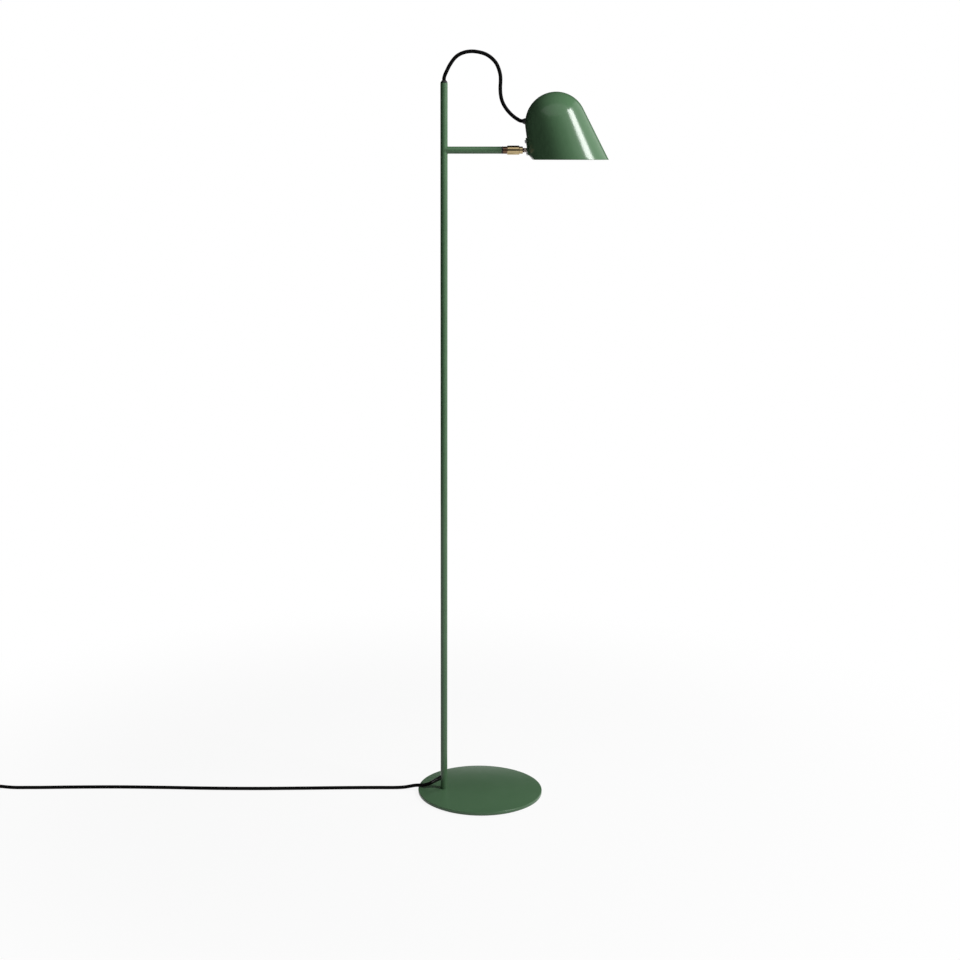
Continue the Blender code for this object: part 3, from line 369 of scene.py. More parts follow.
def tubeMesh(name, route, radius, sides=14, closed=False):
    # rings carried along the route without twist, with coordinates along and round it for the braid
    total = len(route)
    if closed:
        beside = [(route[i - 1], route[(i + 1) % total]) for i in range(total)]
    else:
        beside = [(route[max(i - 1, 0)], route[min(i + 1, total - 1)]) for i in range(total)]
    ahead = [(after - before).normalized() for before, after in beside]
    side = ahead[0].orthogonal().normalized()
    rings = []
    for i in range(total):
        side = (side - ahead[i] * side.dot(ahead[i])).normalized()
        other = ahead[i].cross(side)
        rings.append([
            route[i] + (side * math.cos(a) + other * math.sin(a)) * radius
            for a in (2 * math.pi * k / sides for k in range(sides))
        ])
    if closed:
        return skin(name, rings, loop=True)
    return braided(skin(name, rings, capped=True, crease=60), route, sides)


def braided(mesh, route, sides):
    lengths = [0.0]
    for a, b in zip(route, route[1:]):
        lengths.append(lengths[-1] + (b - a).length)
    layer = mesh.uv_layers.new(name="braid")
    for face in mesh.polygons:
        spots = [(v // sides, v % sides) for v in face.vertices]
        wraps = len(spots) == 4 and {s[1] for s in spots} == {0, sides - 1}
        for loop, (ring, step) in zip(face.loop_indices, spots):
            turn = 1.0 if wraps and step == 0 else step / sides
            layer.data[loop].uv = (lengths[ring], turn)
    return mesh


def basis(spot, axis, side=(0, 1, 0)):
    # local Z goes to axis and local Y to side
    up, across = Vector(axis).normalized(), Vector(side).normalized()
    turn = Matrix((across.cross(up), across, up)).transposed().to_4x4()
    return Matrix.Translation(Vector(spot)) @ turn


def slab(name, outline, low, high, edge=0.0003):
    # an outline in local XY between two heights, its edges rounded over
    def inset(by):
        total, moved = len(outline), []
        for i, (x, y) in enumerate(outline):
            ahead = Vector(outline[(i + 1) % total]) - Vector(outline[i - 1])
            moved.append((x - ahead.y / ahead.length * by, y + ahead.x / ahead.length * by))
        return moved

    bottom = []
    for turn in (math.radians(share) for share in (0, 30, 60, 90)):
        level = low + edge * (1 - math.cos(turn))
        bottom.append([(x, y, level) for x, y in inset(edge * (1 - math.sin(turn)))])
    top = [[(x, y, low + high - z) for x, y, z in ring] for ring in bottom[::-1]]
    return skin(name, bottom + top, capped=True)


def secondFinish(mesh, chosen):
    # gives the piece's second finish to the faces whose middles are chosen
    for face in mesh.polygons:
        if chosen(face.center):
            face.material_index = 1


def arc(centre, radius, start, end, count):
    turns = [start + (end - start) * i / (count - 1) for i in range(count)]
    return [(centre[0] + radius * math.cos(a), centre[1] + radius * math.sin(a)) for a in turns]


def stadium(length, width, count=17):
    half, radius = length / 2 - width / 2, width / 2
    right = arc((half, 0), radius, -math.pi / 2, math.pi / 2, count)
    return right + [(-x, -y) for x, y in right]


def roundedBox(width, height, corner, count=6):
    x, y, quarter = width / 2 - corner, height / 2 - corner, math.pi / 2
    outline = []
    for i, centre in enumerate([(x, y), (-x, y), (-x, -y), (x, -y)]):
        outline += arc(centre, corner, i * quarter, (i + 1) * quarter, count)
    return outline


def piece(name, mesh, finishes, body, slot, *replaced, at=None):
    if at is not None:
        mesh.transform(at)
    made = bpy.data.objects.new(name, mesh)
    bpy.context.scene.collection.objects.link(made)
    for finish in finishes if isinstance(finishes, (list, tuple)) else [finishes]:
        mesh.materials.append(finish)
    if body:
        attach(made, body)
    if replaced:
        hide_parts(*replaced)
    return made


viewpoint = {"place": (0.0, -2.958, 1.207), "down": 11.24, "lens": 60.41, "shift": 0.0375}
camera = bpy.data.objects.new("camera", bpy.data.cameras.new("camera"))
bpy.context.scene.collection.objects.link(camera)
camera.location = viewpoint["place"]
camera.rotation_euler = (math.radians(90 - viewpoint["down"]), 0, 0)
camera.data.lens = viewpoint["lens"]
camera.data.sensor_width = 36
camera.data.shift_x = viewpoint["shift"]
bpy.context.scene.camera = camera


# the cords: each route is one smooth curve through its points
cord = {"diameter": 0.0067, "floor": 0.00365, "inSwitch": 0.008, "spacing": 0.0025, "meeting": (0.1006, 0, 1.3540)}
coil = {
    "centre": (-1.010, -0.0339), "outer": 0.0469, "pitch": 0.0067, "low": 0.00485, "high": 0.0111,
    "lowTurns": 3, "crossing": 183, "highStart": 0.0302, "steps": 40, "tailY": -0.07745,
}
cordRadius, cordFloor, inSwitch = cord["diameter"] / 2, cord["floor"], cord["inSwitch"]

footRoute = [
    (-0.02282, 0, 0.02028), (-0.02412, 0, 0.01953), (-0.0273, 0.0001, 0.0177), (-0.0320, 0.0012, 0.0153),
    (-0.0380, 0.0029, 0.0132), (-0.0440, 0.0046, 0.0120), (-0.0500, 0.0060, 0.0115),
    (-0.0565, 0.0076, 0.0105), (-0.0660, 0.0096, 0.0080), (-0.0770, 0.0113, 0.0055),
    (-0.0900, 0.0125, 0.0041), (-0.1050, 0.0131, cordFloor), (-0.1250, 0.0133, cordFloor),
    (-0.1900, 0.0125, cordFloor), (-0.2800, 0.0100, cordFloor), (-0.3700, 0.0085, cordFloor),
    (-0.4600, 0.0100, cordFloor), (-0.5500, 0.0140, cordFloor), (-0.6400, 0.0165, cordFloor),
    (-0.7300, 0.0155, cordFloor), (-0.8100, 0.0135, cordFloor), (-0.8450, 0.0130, 0.0042),
    (-0.8680, 0.0130, 0.0064), (-0.8830, 0.0130, 0.0079), (-0.8950, 0.0130, inSwitch),
    (-0.9092, 0.0130, inSwitch), (-0.9398, 0.0130, inSwitch), (-0.9500, 0.0130, inSwitch),
    (-0.9600, 0.0130, inSwitch), (-0.9660, 0.0130, 0.0079), (-0.9725, 0.0130, 0.0073),
    (-0.9785, 0.0130, 0.0064), (-0.9850, 0.0130, 0.0056), (-0.9970, 0.0130, 0.0050),
]
tailRoute = [
    (-0.9790, coil["tailY"], 0.0095), (-0.9720, coil["tailY"], 0.0085), (-0.9630, coil["tailY"], 0.0076),
    (-0.9536, coil["tailY"], 0.0072), (-0.9500, coil["tailY"], 0.0072),
]
loopRoute = [
    (0.0000, 0, 1.3430), (0.0000, 0, 1.3463), (0.0000, 0, 1.3492), (0.0012, 0, 1.3543), (0.0042, 0, 1.3610),
    (0.0110, 0, 1.3740), (0.0240, 0, 1.3890), (0.0350, 0, 1.3942), (0.0480, 0, 1.3963),
    (0.0605, 0, 1.3953), (0.0750, 0, 1.3910), (0.0850, 0, 1.3844), (0.0930, 0, 1.3755),
    (0.0982, 0, 1.3640), (0.1006, 0, 1.3540), (0.1009, 0, 1.3430), (0.1005, 0, 1.3335),
    (0.1008, 0, 1.3255), (0.1020, 0, 1.3170), (0.1047, 0, 1.3083), (0.1097, 0, 1.2992),
    (0.1168, 0, 1.2905), (0.1248, 0, 1.2831), (0.1322, 0, 1.2782), (0.1370, 0, 1.2757),
    (0.1406, 0, 1.2753), (0.1428, 0, 1.27517),
]


def coilRoute():
    # lower layer inward, a climb over half a turn, and the upper layer outward to the tail's side
    pitch, steps = coil["pitch"] / 360, 360 / coil["steps"]
    lowEnd = 90 + 360 * coil["lowTurns"]
    highStart = lowEnd + coil["crossing"]
    lowInner = coil["outer"] - coil["pitch"] * coil["lowTurns"]
    tailRadius = coil["centre"][1] - coil["tailY"]
    highEnd = highStart + (tailRadius - coil["highStart"]) / pitch
    points, count = [], round((highEnd - 90) / steps)
    for i in range(count + 1):
        turn = 90 + (highEnd - 90) * i / count
        if turn <= lowEnd:
            radius, height = coil["outer"] - pitch * (turn - 90), coil["low"]
        elif turn <= highStart:
            share = (turn - lowEnd) / coil["crossing"]
            share = share * share * (3 - 2 * share)
            radius = lowInner + (coil["highStart"] - lowInner) * share
            height = coil["low"] + (coil["high"] - coil["low"]) * share
        else:
            radius, height = coil["highStart"] + pitch * (turn - highStart), coil["high"]
        angle = math.radians(turn)
        x, y = coil["centre"]
        points.append((x + radius * math.cos(angle), y + radius * math.sin(angle), height))
    return points


def lengthOf(route):
    return sum((b - a).length for a, b in zip(route, route[1:]))


def makeCord(name, route, body, *replaced):
    mesh = tubeMesh(name, route, cordRadius)
    made = piece(name, mesh, blackBraid, body, "black_textile", *replaced)
    print(name, "is", round(lengthOf(route), 3), "m long")
    return made


footPath = smoothRoute(footRoute + coilRoute() + tailRoute, cord["spacing"])
loopPath = smoothRoute(loopRoute, cord["spacing"])
loopSplit = min(range(len(loopPath)), key=lambda i: (loopPath[i] - Vector(cord["meeting"])).length)
risePath, dropPath = loopPath[:loopSplit + 1], loopPath[loopSplit:]

footCord = makeCord(
    "footCord", footPath, "stand", "mains_cord", "mains_cord_second", "mains_cord_coil", "mains_cord_tail",
)
riseCord = makeCord("riseCord", risePath, None, "upper_cable")
dropCord = makeCord("dropCord", dropPath, None)
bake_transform(riseCord)
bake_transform(dropCord)


foot = {"centre": 0.070, "radius": 0.120, "low": 0.0018, "high": 0.0078, "edge": 0.0011}
pole = {"radius": 0.0065, "wall": 0.001, "low": 0.0081, "high": 1.3415}
arm = {"height": 1.2241, "radius": 0.0064, "wall": 0.001, "start": 0.0035, "end": 0.1032, "weld": 0.0011}
gland = {
    "bottom": 1.3418, "rise": 0.0042, "low": 0.0063, "top": 0.0042, "stem": 0.0125, "bore": 0.00365, "gap": 0.0003,
}
relief = {
    "slope": 30, "height": 0.0297, "length": 0.020, "inside": 0.0053, "radius": 0.0040, "end": 0.00365,
    "ribs": 5, "firstRib": 0.0020, "ribPitch": 0.0026, "ribLong": 0.0013, "groove": 0.00035,
}

piece(
    "footPlate",
    turned("footPlate", [
        (0, foot["high"], 0), (foot["radius"], foot["high"], foot["edge"]),
        (foot["radius"], foot["low"], foot["edge"]), (0, foot["low"], 0),
    ], steps=160),
    greenPaint, "stand", "green_paint", "base_plate", at=Matrix.Translation((foot["centre"], 0, 0)),
)

poleInner = pole["radius"] - pole["wall"]
piece(
    "poleTube",
    turned("poleTube", [
        (pole["radius"], pole["high"], 0.0005), (pole["radius"], pole["low"], 0),
        (poleInner, pole["low"], 0), (poleInner, pole["high"], 0.0003),
    ], steps=64),
    greenPaint, "stand", "green_paint", "pole_tube",
)


def makeArm():
    # the tube runs into the pole, and a thin painted weld follows the line where they meet
    inner = arm["radius"] - arm["wall"]
    tube = turned("armTube", [
        (arm["radius"], arm["end"], 0.0003), (arm["radius"], arm["start"], 0),
        (inner, arm["start"], 0), (inner, arm["end"], 0.0002),
    ], steps=64)
    tube.transform(basis((0, 0, arm["height"]), (1, 0, 0)))
    seam = []
    for i in range(72):
        angle = 2 * math.pi * i / 72
        y = arm["radius"] * math.sin(angle)
        x = math.sqrt(max(0, pole["radius"]**2 - y**2))
        seam.append(Vector((x, y, arm["height"] + arm["radius"] * math.cos(angle))))
    bead = tubeMesh("armWeld", seam, arm["weld"] / 2, 10, closed=True)
    piece("armTube", joined("armTube", tube, bead), greenPaint, "stand", "green_paint", "arm_tube")


def makeGland():
    # a cone on the pole's top, with a stem that goes down inside it
    bottom, top = gland["bottom"], gland["bottom"] + gland["rise"]
    stem, stemEnd = poleInner - gland["gap"], pole["high"] - gland["stem"]
    mesh = turned("poleGland", [
        (gland["top"], top, 0.0004), (gland["low"], bottom + gland["rise"] / 4, 0.0008),
        (gland["low"], bottom, 0.0002), (stem, bottom, 0), (stem, stemEnd, 0),
        (gland["bore"], stemEnd, 0), (gland["bore"], top, 0.0002),
    ], steps=48)
    piece("poleGland", mesh, blackPlastic, "stand", "black_plastic", "pole_top_gland")


def makeRelief():
    # a tapered sleeve with shallow grooves near its free end
    slope = math.radians(relief["slope"])
    outward = Vector((-math.cos(slope), 0, -math.sin(slope)))
    start, long = relief["radius"], relief["length"]
    corners = [(0, long, 0), (relief["end"], long, 0.0004)]
    for i in range(relief["ribs"]):
        high = long - relief["firstRib"] - i * relief["ribPitch"]
        low = high - relief["ribLong"]
        radius = relief["end"] + (start - relief["end"]) * (long - high) / long
        deep = radius - relief["groove"]
        corners += [(radius, high, 0.0002), (deep, high - 0.0003, 0.0002), (deep, low + 0.0003, 0.0002),
                    (radius, low, 0.0002)]
    corners += [(start, 0, 0), (start, -relief["inside"], 0), (0, -relief["inside"], 0)]
    mesh = turned("cordRelief", corners, 48, count=2)
    piece("cordRelief", mesh, blackPlastic, "stand", "black_plastic", "cord_strain_relief",
          at=basis((-pole["radius"], 0, relief["height"]), outward))


makeArm()
makeGland()
makeRelief()
print("foot, pole and arm made")


# the swivel and tilt joint; distances run along the arm
joint = {
    "washerStart": 0.1035, "washer": 0.0022, "washerRadius": 0.0067, "bore": 0.0038,
    "barrelStart": 0.1060, "neck": 0.0077, "neckRadius": 0.0065, "barrel": 0.0218, "barrelRadius": 0.00815,
    "shoulder": 0.010, "hollow": 0.006, "edge": 0.0008,
    "forkStart": 0.1358, "forkNeck": 0.0059, "stub": 0.011, "stubRadius": 0.0056,
    "earRadius": 0.0038, "earOuter": 0.0045, "earInner": 0.0023, "lug": 0.0020, "lugRadius": 0.0036,
}
pivot = Vector((0.1456, 0, arm["height"]))


def alongArm(x):
    return basis((x, 0, arm["height"]), (1, 0, 0))


piece(
    "jointWasher",
    turned("jointWasher", [
        (joint["washerRadius"], joint["washer"], 0.0005), (joint["washerRadius"], 0, 0.0005),
        (joint["bore"], 0, 0), (joint["bore"], joint["washer"], 0),
    ], steps=48),
    blackPlastic, "stand", "black_plastic", "joint_washer", at=alongArm(joint["washerStart"]),
)


def makeBarrel():
    # the neck is a darker brass than the barrel
    end = joint["neck"] + joint["barrel"]
    mesh = turned("jointBarrel", [
        (joint["barrelRadius"], end, joint["edge"]), (joint["barrelRadius"], joint["neck"], joint["edge"]),
        (joint["neckRadius"], joint["neck"], 0.0003), (joint["neckRadius"], 0, 0.0004),
        (joint["bore"], 0, 0), (joint["bore"], joint["shoulder"], 0),
        (joint["hollow"], joint["shoulder"], 0), (joint["hollow"], end, 0.0002),
    ], steps=72)
    secondFinish(mesh, lambda spot: spot.z < joint["neck"] * 0.75)
    piece("jointBarrel", mesh, [brass, darkBrass], "swivel", "brass", "joint_barrel",
          at=alongArm(joint["barrelStart"]))


makeBarrel()


def makeFork():
    # a turned neck with a round stub inside the barrel, and two ears that hold the pivot
    neck = turned("forkNeck", [
        (0, joint["forkNeck"], 0), (joint["neckRadius"], joint["forkNeck"], joint["edge"]),
        (joint["neckRadius"], 0, 0.0002), (joint["stubRadius"], 0, 0),
        (joint["stubRadius"], -joint["stub"], 0), (0, -joint["stub"], 0),
    ], steps=64)
    neck.transform(alongArm(joint["forkStart"]))
    back = -(pivot.x - joint["forkStart"] - joint["forkNeck"] / 2)
    outline = arc((0, 0), joint["earRadius"], -math.pi / 2, math.pi / 2, 25)
    outline += [(back, joint["earRadius"]), (back, -joint["earRadius"])]
    ears = []
    for low, high in ((joint["earInner"], joint["earOuter"]), (-joint["earOuter"], -joint["earInner"])):
        ear = slab("forkEar", outline, low, high, 0.0002)
        # the ears take the darker brass
        secondFinish(ear, lambda spot: True)
        ear.transform(basis(pivot, (0, -1, 0), (0, 0, 1)))
        ears.append(ear)
    mesh = joined("jointFork", neck, *ears)
    piece("jointFork", mesh, [brass, darkBrass], "swivel", "brass", "joint_fork")


makeFork()


def capScrew(name, radius, length, head, height, count=3):
    # its head has a six-sided recess, and its shank goes down from zero
    recess, floor = head * 0.5, height * 0.4
    return turned(name, [
        (0, floor, 0), (recess, floor, 0, "hex"), (recess, height, 0.00005, "hex"),
        (head, height, height * 0.22), (head, 0, 0.0001),
        (radius, 0, 0), (radius, -length, 0.0002), (0, -length, 0),
    ], steps=48, count=count)


def hexNut(name, corner, bore, length):
    return turned(name, [
        (corner, length, 0.0003, "hex"), (corner, 0, 0.0002, "hex"), (bore, 0, 0), (bore, length, 0.0001),
    ], steps=48, count=3)


tiltPin = {"side": 0.0048, "radius": 0.0015, "head": 0.0030, "headHigh": 0.0015, "nut": 0.0031, "nutBore": 0.0018,
           "nutLong": 0.0022}


def makeTiltPin():
    aside = Vector((0, tiltPin["side"], 0))
    length = 2 * tiltPin["side"] + tiltPin["nutLong"]
    screw = capScrew("tiltScrew", tiltPin["radius"], length, tiltPin["head"], tiltPin["headHigh"])
    nut = hexNut("tiltNut", tiltPin["nut"], tiltPin["nutBore"], tiltPin["nutLong"])
    piece("tiltScrew", screw, warmSteel, "swivel", "steel", "tilt_screw",
          at=basis(pivot - aside, (0, -1, 0), upward))
    piece("tiltNut", nut, warmSteel, "swivel", "steel", "tilt_nut", at=basis(pivot + aside, (0, 1, 0), upward))


makeTiltPin()
print("joint made")


# the shade: a ball that runs into a leaning cone, cut level at the rim
shade = {
    "radius": 0.05495, "wall": 0.0012, "tilt": 17.95, "half": 9.82, "standoff": 0.0060, "rise": 0.0393,
    "rimDrop": 0.0171, "cutDrop": 0.0096, "columns": 240, "domeRows": 28, "coneRows": 18,
}
tilt, half = math.radians(shade["tilt"]), math.radians(shade["half"])
lean = tilt - half
wallUp = Vector((-math.sin(lean), 0, math.cos(lean)))
wallOut = Vector((-math.cos(lean), 0, -math.sin(lean)))
domeCentre = pivot - wallOut * (shade["standoff"] + shade["radius"]) + wallUp * shade["rise"]
axisUp = Vector((-math.sin(tilt), 0, math.cos(tilt)))
axisBack = Vector((-math.cos(tilt), 0, -math.sin(tilt)))
rimHeight = pivot.z - shade["rimDrop"]


def onWall(up, out):
    return pivot + wallOut * (out - shade["standoff"]) + wallUp * up


def onAxis(down):
    return domeCentre - axisUp * down


def shadeColumn(angle, radius, trim):
    # one line down the dome and the cone, ended where the level rim or the clipped back corner is
    spoke = axisBack * math.cos(angle) + Vector((0, 1, 0)) * math.sin(angle)
    rows = []
    for i in range(shade["domeRows"] + 1):
        turn = math.pi / 2 + (half - math.pi / 2) * i / shade["domeRows"]
        rows.append(domeCentre + spoke * radius * math.cos(turn) + axisUp * radius * math.sin(turn))
    start = rows[-1]
    down = spoke * math.sin(half) - axisUp * math.cos(half)
    reach = (start.z - rimHeight) / -down.z
    cutFace = Vector((-1, 0, -1)).normalized()
    corner = onWall(-shade["cutDrop"] / math.cos(lean), 0)
    toward = down.dot(cutFace)
    if toward > 0:
        reach = min(reach, (corner - start).dot(cutFace) / toward)
    reach -= trim
    rows += [start + down * reach * i / shade["coneRows"] for i in range(1, shade["coneRows"] + 1)]
    return rows, down


def makeShade():
    wall, edge = shade["wall"], shade["wall"] / 2
    columns = []
    for k in range(shade["columns"]):
        angle = 2 * math.pi * k / shade["columns"]
        outer, down = shadeColumn(angle, shade["radius"], edge)
        inner, _ = shadeColumn(angle, shade["radius"] - wall, edge)
        middle, across = (outer[-1] + inner[-1]) / 2, (outer[-1] - inner[-1]) / 2
        lip = [middle + across * math.cos(t) + down * edge * math.sin(t)
               for t in (math.pi * i / 8 for i in range(1, 8))]
        columns.append(outer + lip + inner[::-1])
    rings = [list(ring) for ring in zip(*columns)]
    outerCount = shade["domeRows"] + shade["coneRows"] + 5
    mesh = skin("shade", rings, slotOf=lambda i: 0 if i < outerCount else 1, crease=40)
    piece("shade", mesh, [greenPaint, whiteEnamel], "head", "green_paint", "shade")


makeShade()

grommet = {"rise": 3.4, "out": 0.0046, "tip": 0.0039, "flange": 0.0055, "neck": 0.0045, "thick": 0.0015,
           "bore": 0.00365, "gap": 0.0009}


def makeGrommet():
    # its neck goes through the shade, between a cone outside and a flange inside
    rise = math.radians(grommet["rise"])
    out = Vector((-math.cos(rise), 0, math.sin(rise)))
    inside = -shade["wall"] - grommet["gap"]
    mesh = turned("shadeGrommet", [
        (grommet["tip"], grommet["out"], 0.0002), (grommet["flange"], 0.0006, 0.0004),
        (grommet["flange"], -0.0002, 0.0001), (grommet["neck"], -0.0001, 0), (grommet["neck"], inside, 0),
        (grommet["flange"], inside, 0.0003), (grommet["flange"], inside - grommet["thick"], 0.0004),
        (grommet["bore"], inside - grommet["thick"], 0), (grommet["bore"], grommet["out"], 0.0002),
    ], steps=48)
    piece("shadeGrommet", mesh, blackPlastic, "head", "black_plastic", "shade_grommet",
          at=basis(domeCentre + out * shade["radius"], out))


makeGrommet()
plate = {"up": 0.021, "down": 0.010, "wide": 0.016, "corner": 0.003, "thick": 0.0015, "gap": 0.0003}


def makeTiltPlate():
    # the plate against the shade's back, and the lug that turns between the fork's ears
    body = slab("tiltPlate", roundedBox(plate["up"] + plate["down"], plate["wide"], plate["corner"]),
                -plate["thick"] / 2, plate["thick"] / 2, 0.0003)
    middle = onWall((plate["up"] - plate["down"]) / 2, plate["gap"] + plate["thick"] / 2)
    body.transform(basis(middle, wallOut))
    base = shade["standoff"] - plate["gap"] - plate["thick"] / 2
    outline = arc((0, 0), joint["lugRadius"], 0, math.pi, 25)
    outline += [(-joint["lugRadius"], -base), (joint["lugRadius"], -base)]
    lug = slab("tiltLug", outline, -joint["lug"], joint["lug"], 0.0002)
    lug.transform(basis(pivot, (0, -1, 0), wallOut))
    piece("tiltPlate", joined("tiltPlate", body, lug), greenPaint, "head", "green_paint", "tilt_plate")


makeTiltPlate()
shadeScrew = {"upper": 0.0146, "lower": -0.0070, "radius": 0.002, "head": 0.0029, "headHigh": 0.0022,
              "nut": 0.0037, "nutBore": 0.0023, "nutLong": 0.0024}
strip = {"wide": 0.014, "thick": 0.0015, "gap": 0.0003}  # the holder's bracket, flat against the round wall


def makeShadeScrews():
    headSeat = plate["gap"] + plate["thick"] + 0.0003
    stripSeat = shade["wall"] + strip["gap"] + strip["wide"]**2 / (8 * shade["radius"])
    nutSeat = -stripSeat - strip["thick"] - strip["gap"]
    length = headSeat - nutSeat + shadeScrew["nutLong"]
    for place in ("upper", "lower"):
        name, up = f"shadeScrew{place.capitalize()}", shadeScrew[place]
        screw = capScrew(name, shadeScrew["radius"], length, shadeScrew["head"], shadeScrew["headHigh"])
        piece(name, screw, steel, "head", "steel", f"shade_screw_{place}",
              at=basis(onWall(up, headSeat), wallOut))
        name = f"shadeNut{place.capitalize()}"
        nut = hexNut(name, shadeScrew["nut"], shadeScrew["nutBore"], shadeScrew["nutLong"])
        piece(name, nut, steel, "head", "steel", f"shade_nut_{place}", at=basis(onWall(up, nutSeat), -wallOut))


makeShadeScrews()
print("shade made")


# the lampholder and the bulb, at distances below the dome's centre along the shade's axis
holder = {
    "top": -0.029, "cap": 0.014, "skirt": 0.0237, "radius": 0.0135, "ring": 0.0168, "ringLong": 0.0042,
    "level": -0.003, "apart": 0.0026, "bore": 0.0072, "floor": 0.003, "gap": 0.0003, "rebate": 0.0006,
}
bulb = {"top": 0.0101, "radius": 0.0225, "neck": 0.0085, "length": 0.0474}


def makeHolder():
    radius, cap, long, ringLong = holder["radius"], holder["cap"], holder["skirt"], holder["ringLong"]
    capEnd = holder["top"] + cap
    mesh = turned("holderCap", [
        (0, cap, 0), (radius * 0.62, cap, 0.002), (radius, cap - 0.004, 0.003), (radius, 0.0012, 0.0003),
        (radius - holder["rebate"], 0.0009, 0), (radius - holder["rebate"], 0, 0), (0, 0, 0),
    ], steps=72)
    piece("holderCap", mesh, blackPlastic, "head", "black_plastic", "lampholder_cap",
          at=basis(onAxis(capEnd), axisUp))
    mesh = turned("holderSkirt", [
        (0, long, 0), (radius, long, 0.0003), (radius, long - 0.003, 0, "ribs24"), (radius, 0.003, 0, "ribs24"),
        (radius, 0, 0.0006), (holder["bore"], 0, 0.0004), (holder["bore"], long - holder["floor"], 0),
        (0, long - holder["floor"], 0),
    ], steps=144, crease=45)
    piece("holderSkirt", mesh, blackPlastic, "head", "black_plastic", "lampholder_skirt",
          at=basis(onAxis(capEnd + holder["gap"] + long), axisUp))
    half, inner = holder["apart"] / 2, radius + holder["gap"]
    for place, level in (("upper", holder["level"] - half), ("lower", holder["level"] + half + ringLong)):
        name = f"holderRing{place.capitalize()}"
        mesh = turned(name, [
            (holder["ring"], ringLong, 0.0006), (holder["ring"], ringLong - 0.0009, 0, "ribs36"),
            (holder["ring"], 0.0009, 0, "ribs36"), (holder["ring"], 0, 0.0006),
            (inner, 0, 0), (inner, ringLong, 0),
        ], steps=144, crease=45)
        piece(name, mesh, blackPlastic, "head", "black_plastic", f"lampholder_ring_{place}",
              at=basis(onAxis(level), axisUp))


def makeBulb():
    # a golf-ball bulb: a round body that runs into a short neck
    centre = -(bulb["length"] - bulb["radius"])
    profile = [(0, 0, 0), (bulb["neck"] - 0.0004, 0, 0.0003), (bulb["neck"], -0.0010, 0)]
    start, steps = math.acos(bulb["neck"] / bulb["radius"]) - 0.05, 40
    for i in range(steps + 1):
        angle = start + (-math.pi / 2 - start) * i / steps
        wide = max(0.0, bulb["radius"] * math.cos(angle))
        profile.append((wide, centre + bulb["radius"] * math.sin(angle), 0))
    mesh = turned("bulbGlass", profile, 72, crease=50)
    piece("bulbGlass", mesh, opalGlass, "head", "opal_glass", "bulb_glass", at=basis(onAxis(bulb["top"]), axisUp))


makeHolder()
makeBulb()
print("lampholder and bulb made")


# the foot switch and the plug, which sit on the foot cord
switch = {
    "centre": (-0.9245, 0.013, 0), "length": 0.078, "width": 0.034, "height": 0.020, "wall": 0.002,
    "split": 0.008, "gap": 0.0003, "edge": 0.0042, "seam": 0.0004, "hole": 0.0113,
}
button = {
    "radius": 0.011, "flange": 0.013, "bottom": 0.0156, "flangeTop": 0.0177, "top": 0.0242,
    "hollow": 0.0075, "roof": 0.0220,
}
springWire = {"low": 0.0128, "high": 0.0213, "radius": 0.0055, "wire": 0.00042, "turns": 5, "steps": 24}
switchAt = Matrix.Translation(switch["centre"])


def stadiumRing(inset, height):
    return [(x, y, height) for x, y in stadium(switch["length"] - 2 * inset, switch["width"] - 2 * inset)]


def makeShells():
    edge, wall, high, seam = switch["edge"], switch["wall"], switch["height"], switch["seam"]
    split, hole, seamIn = switch["split"], switch["hole"], 0.0003
    lower = [stadiumRing(edge * (1 - math.sin(t)) * 0.7, edge * (1 - math.cos(t)) * 0.7)
             for t in (math.pi / 2 * i / 5 for i in range(6))]
    lower += [stadiumRing(0, split - seam), stadiumRing(seamIn, split), stadiumRing(wall, split),
              stadiumRing(wall, wall)]
    piece("switchLower", skin("switchLower", lower, capped=True), blackPlastic, "stand", "black_plastic",
          "switch_lower_shell", at=switchAt)
    base = split + switch["gap"]
    upper = [stadiumRing(wall, base), stadiumRing(seamIn, base), stadiumRing(0, base + seam)]
    upper += [stadiumRing(edge * (1 - math.cos(t)), high - edge + edge * math.sin(t))
              for t in (math.pi / 2 * i / 7 for i in range(8))]
    angles = [math.atan2(y, x) for x, y in stadium(switch["length"], switch["width"])]
    for radius, height in ((hole + seam, high), (hole, high - seam), (hole, high - wall)):
        upper.append([(radius * math.cos(a), radius * math.sin(a), height) for a in angles])
    upper.append(stadiumRing(wall, high - wall))
    piece("switchUpper", skin("switchUpper", upper, loop=True), blackPlastic, "stand", "black_plastic",
          "switch_upper_shell", at=switchAt)


def makeButton():
    # a domed button with a shallow dish in its top
    top, radius, flange, hollow = button["top"], button["radius"], button["flange"], button["hollow"]
    mesh = turned("switchButton", [
        (0, top - 0.0006, 0), (0.0050, top - 0.0004, 0.002), (0.0072, top, 0.0010),
        (0.0100, top - 0.0012, 0.0012), (radius, top - 0.0030, 0.0008), (radius, button["flangeTop"], 0),
        (flange, button["flangeTop"], 0.0002), (flange, button["bottom"], 0.0002),
        (hollow, button["bottom"], 0), (hollow, button["roof"], 0), (0, button["roof"], 0),
    ], steps=64)
    piece("switchButton", mesh, blackPlastic, "foot_button", "black_plastic", "switch_button", at=switchAt)


def makeSpring():
    low, high, radius, steps = springWire["low"], springWire["high"], springWire["radius"], springWire["steps"]
    total = springWire["turns"] * steps
    points = []
    for i in range(total + 1):
        angle = 2 * math.pi * i / steps
        spot = Vector((radius * math.cos(angle), radius * math.sin(angle), low + (high - low) * i / total))
        points.append(Vector(switch["centre"]) + spot)
    mesh = tubeMesh("switchSpring", points, springWire["wire"], 8)
    spring = piece("switchSpring", mesh, steel, "stand", "steel", "switch_spring")
    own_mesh(spring)


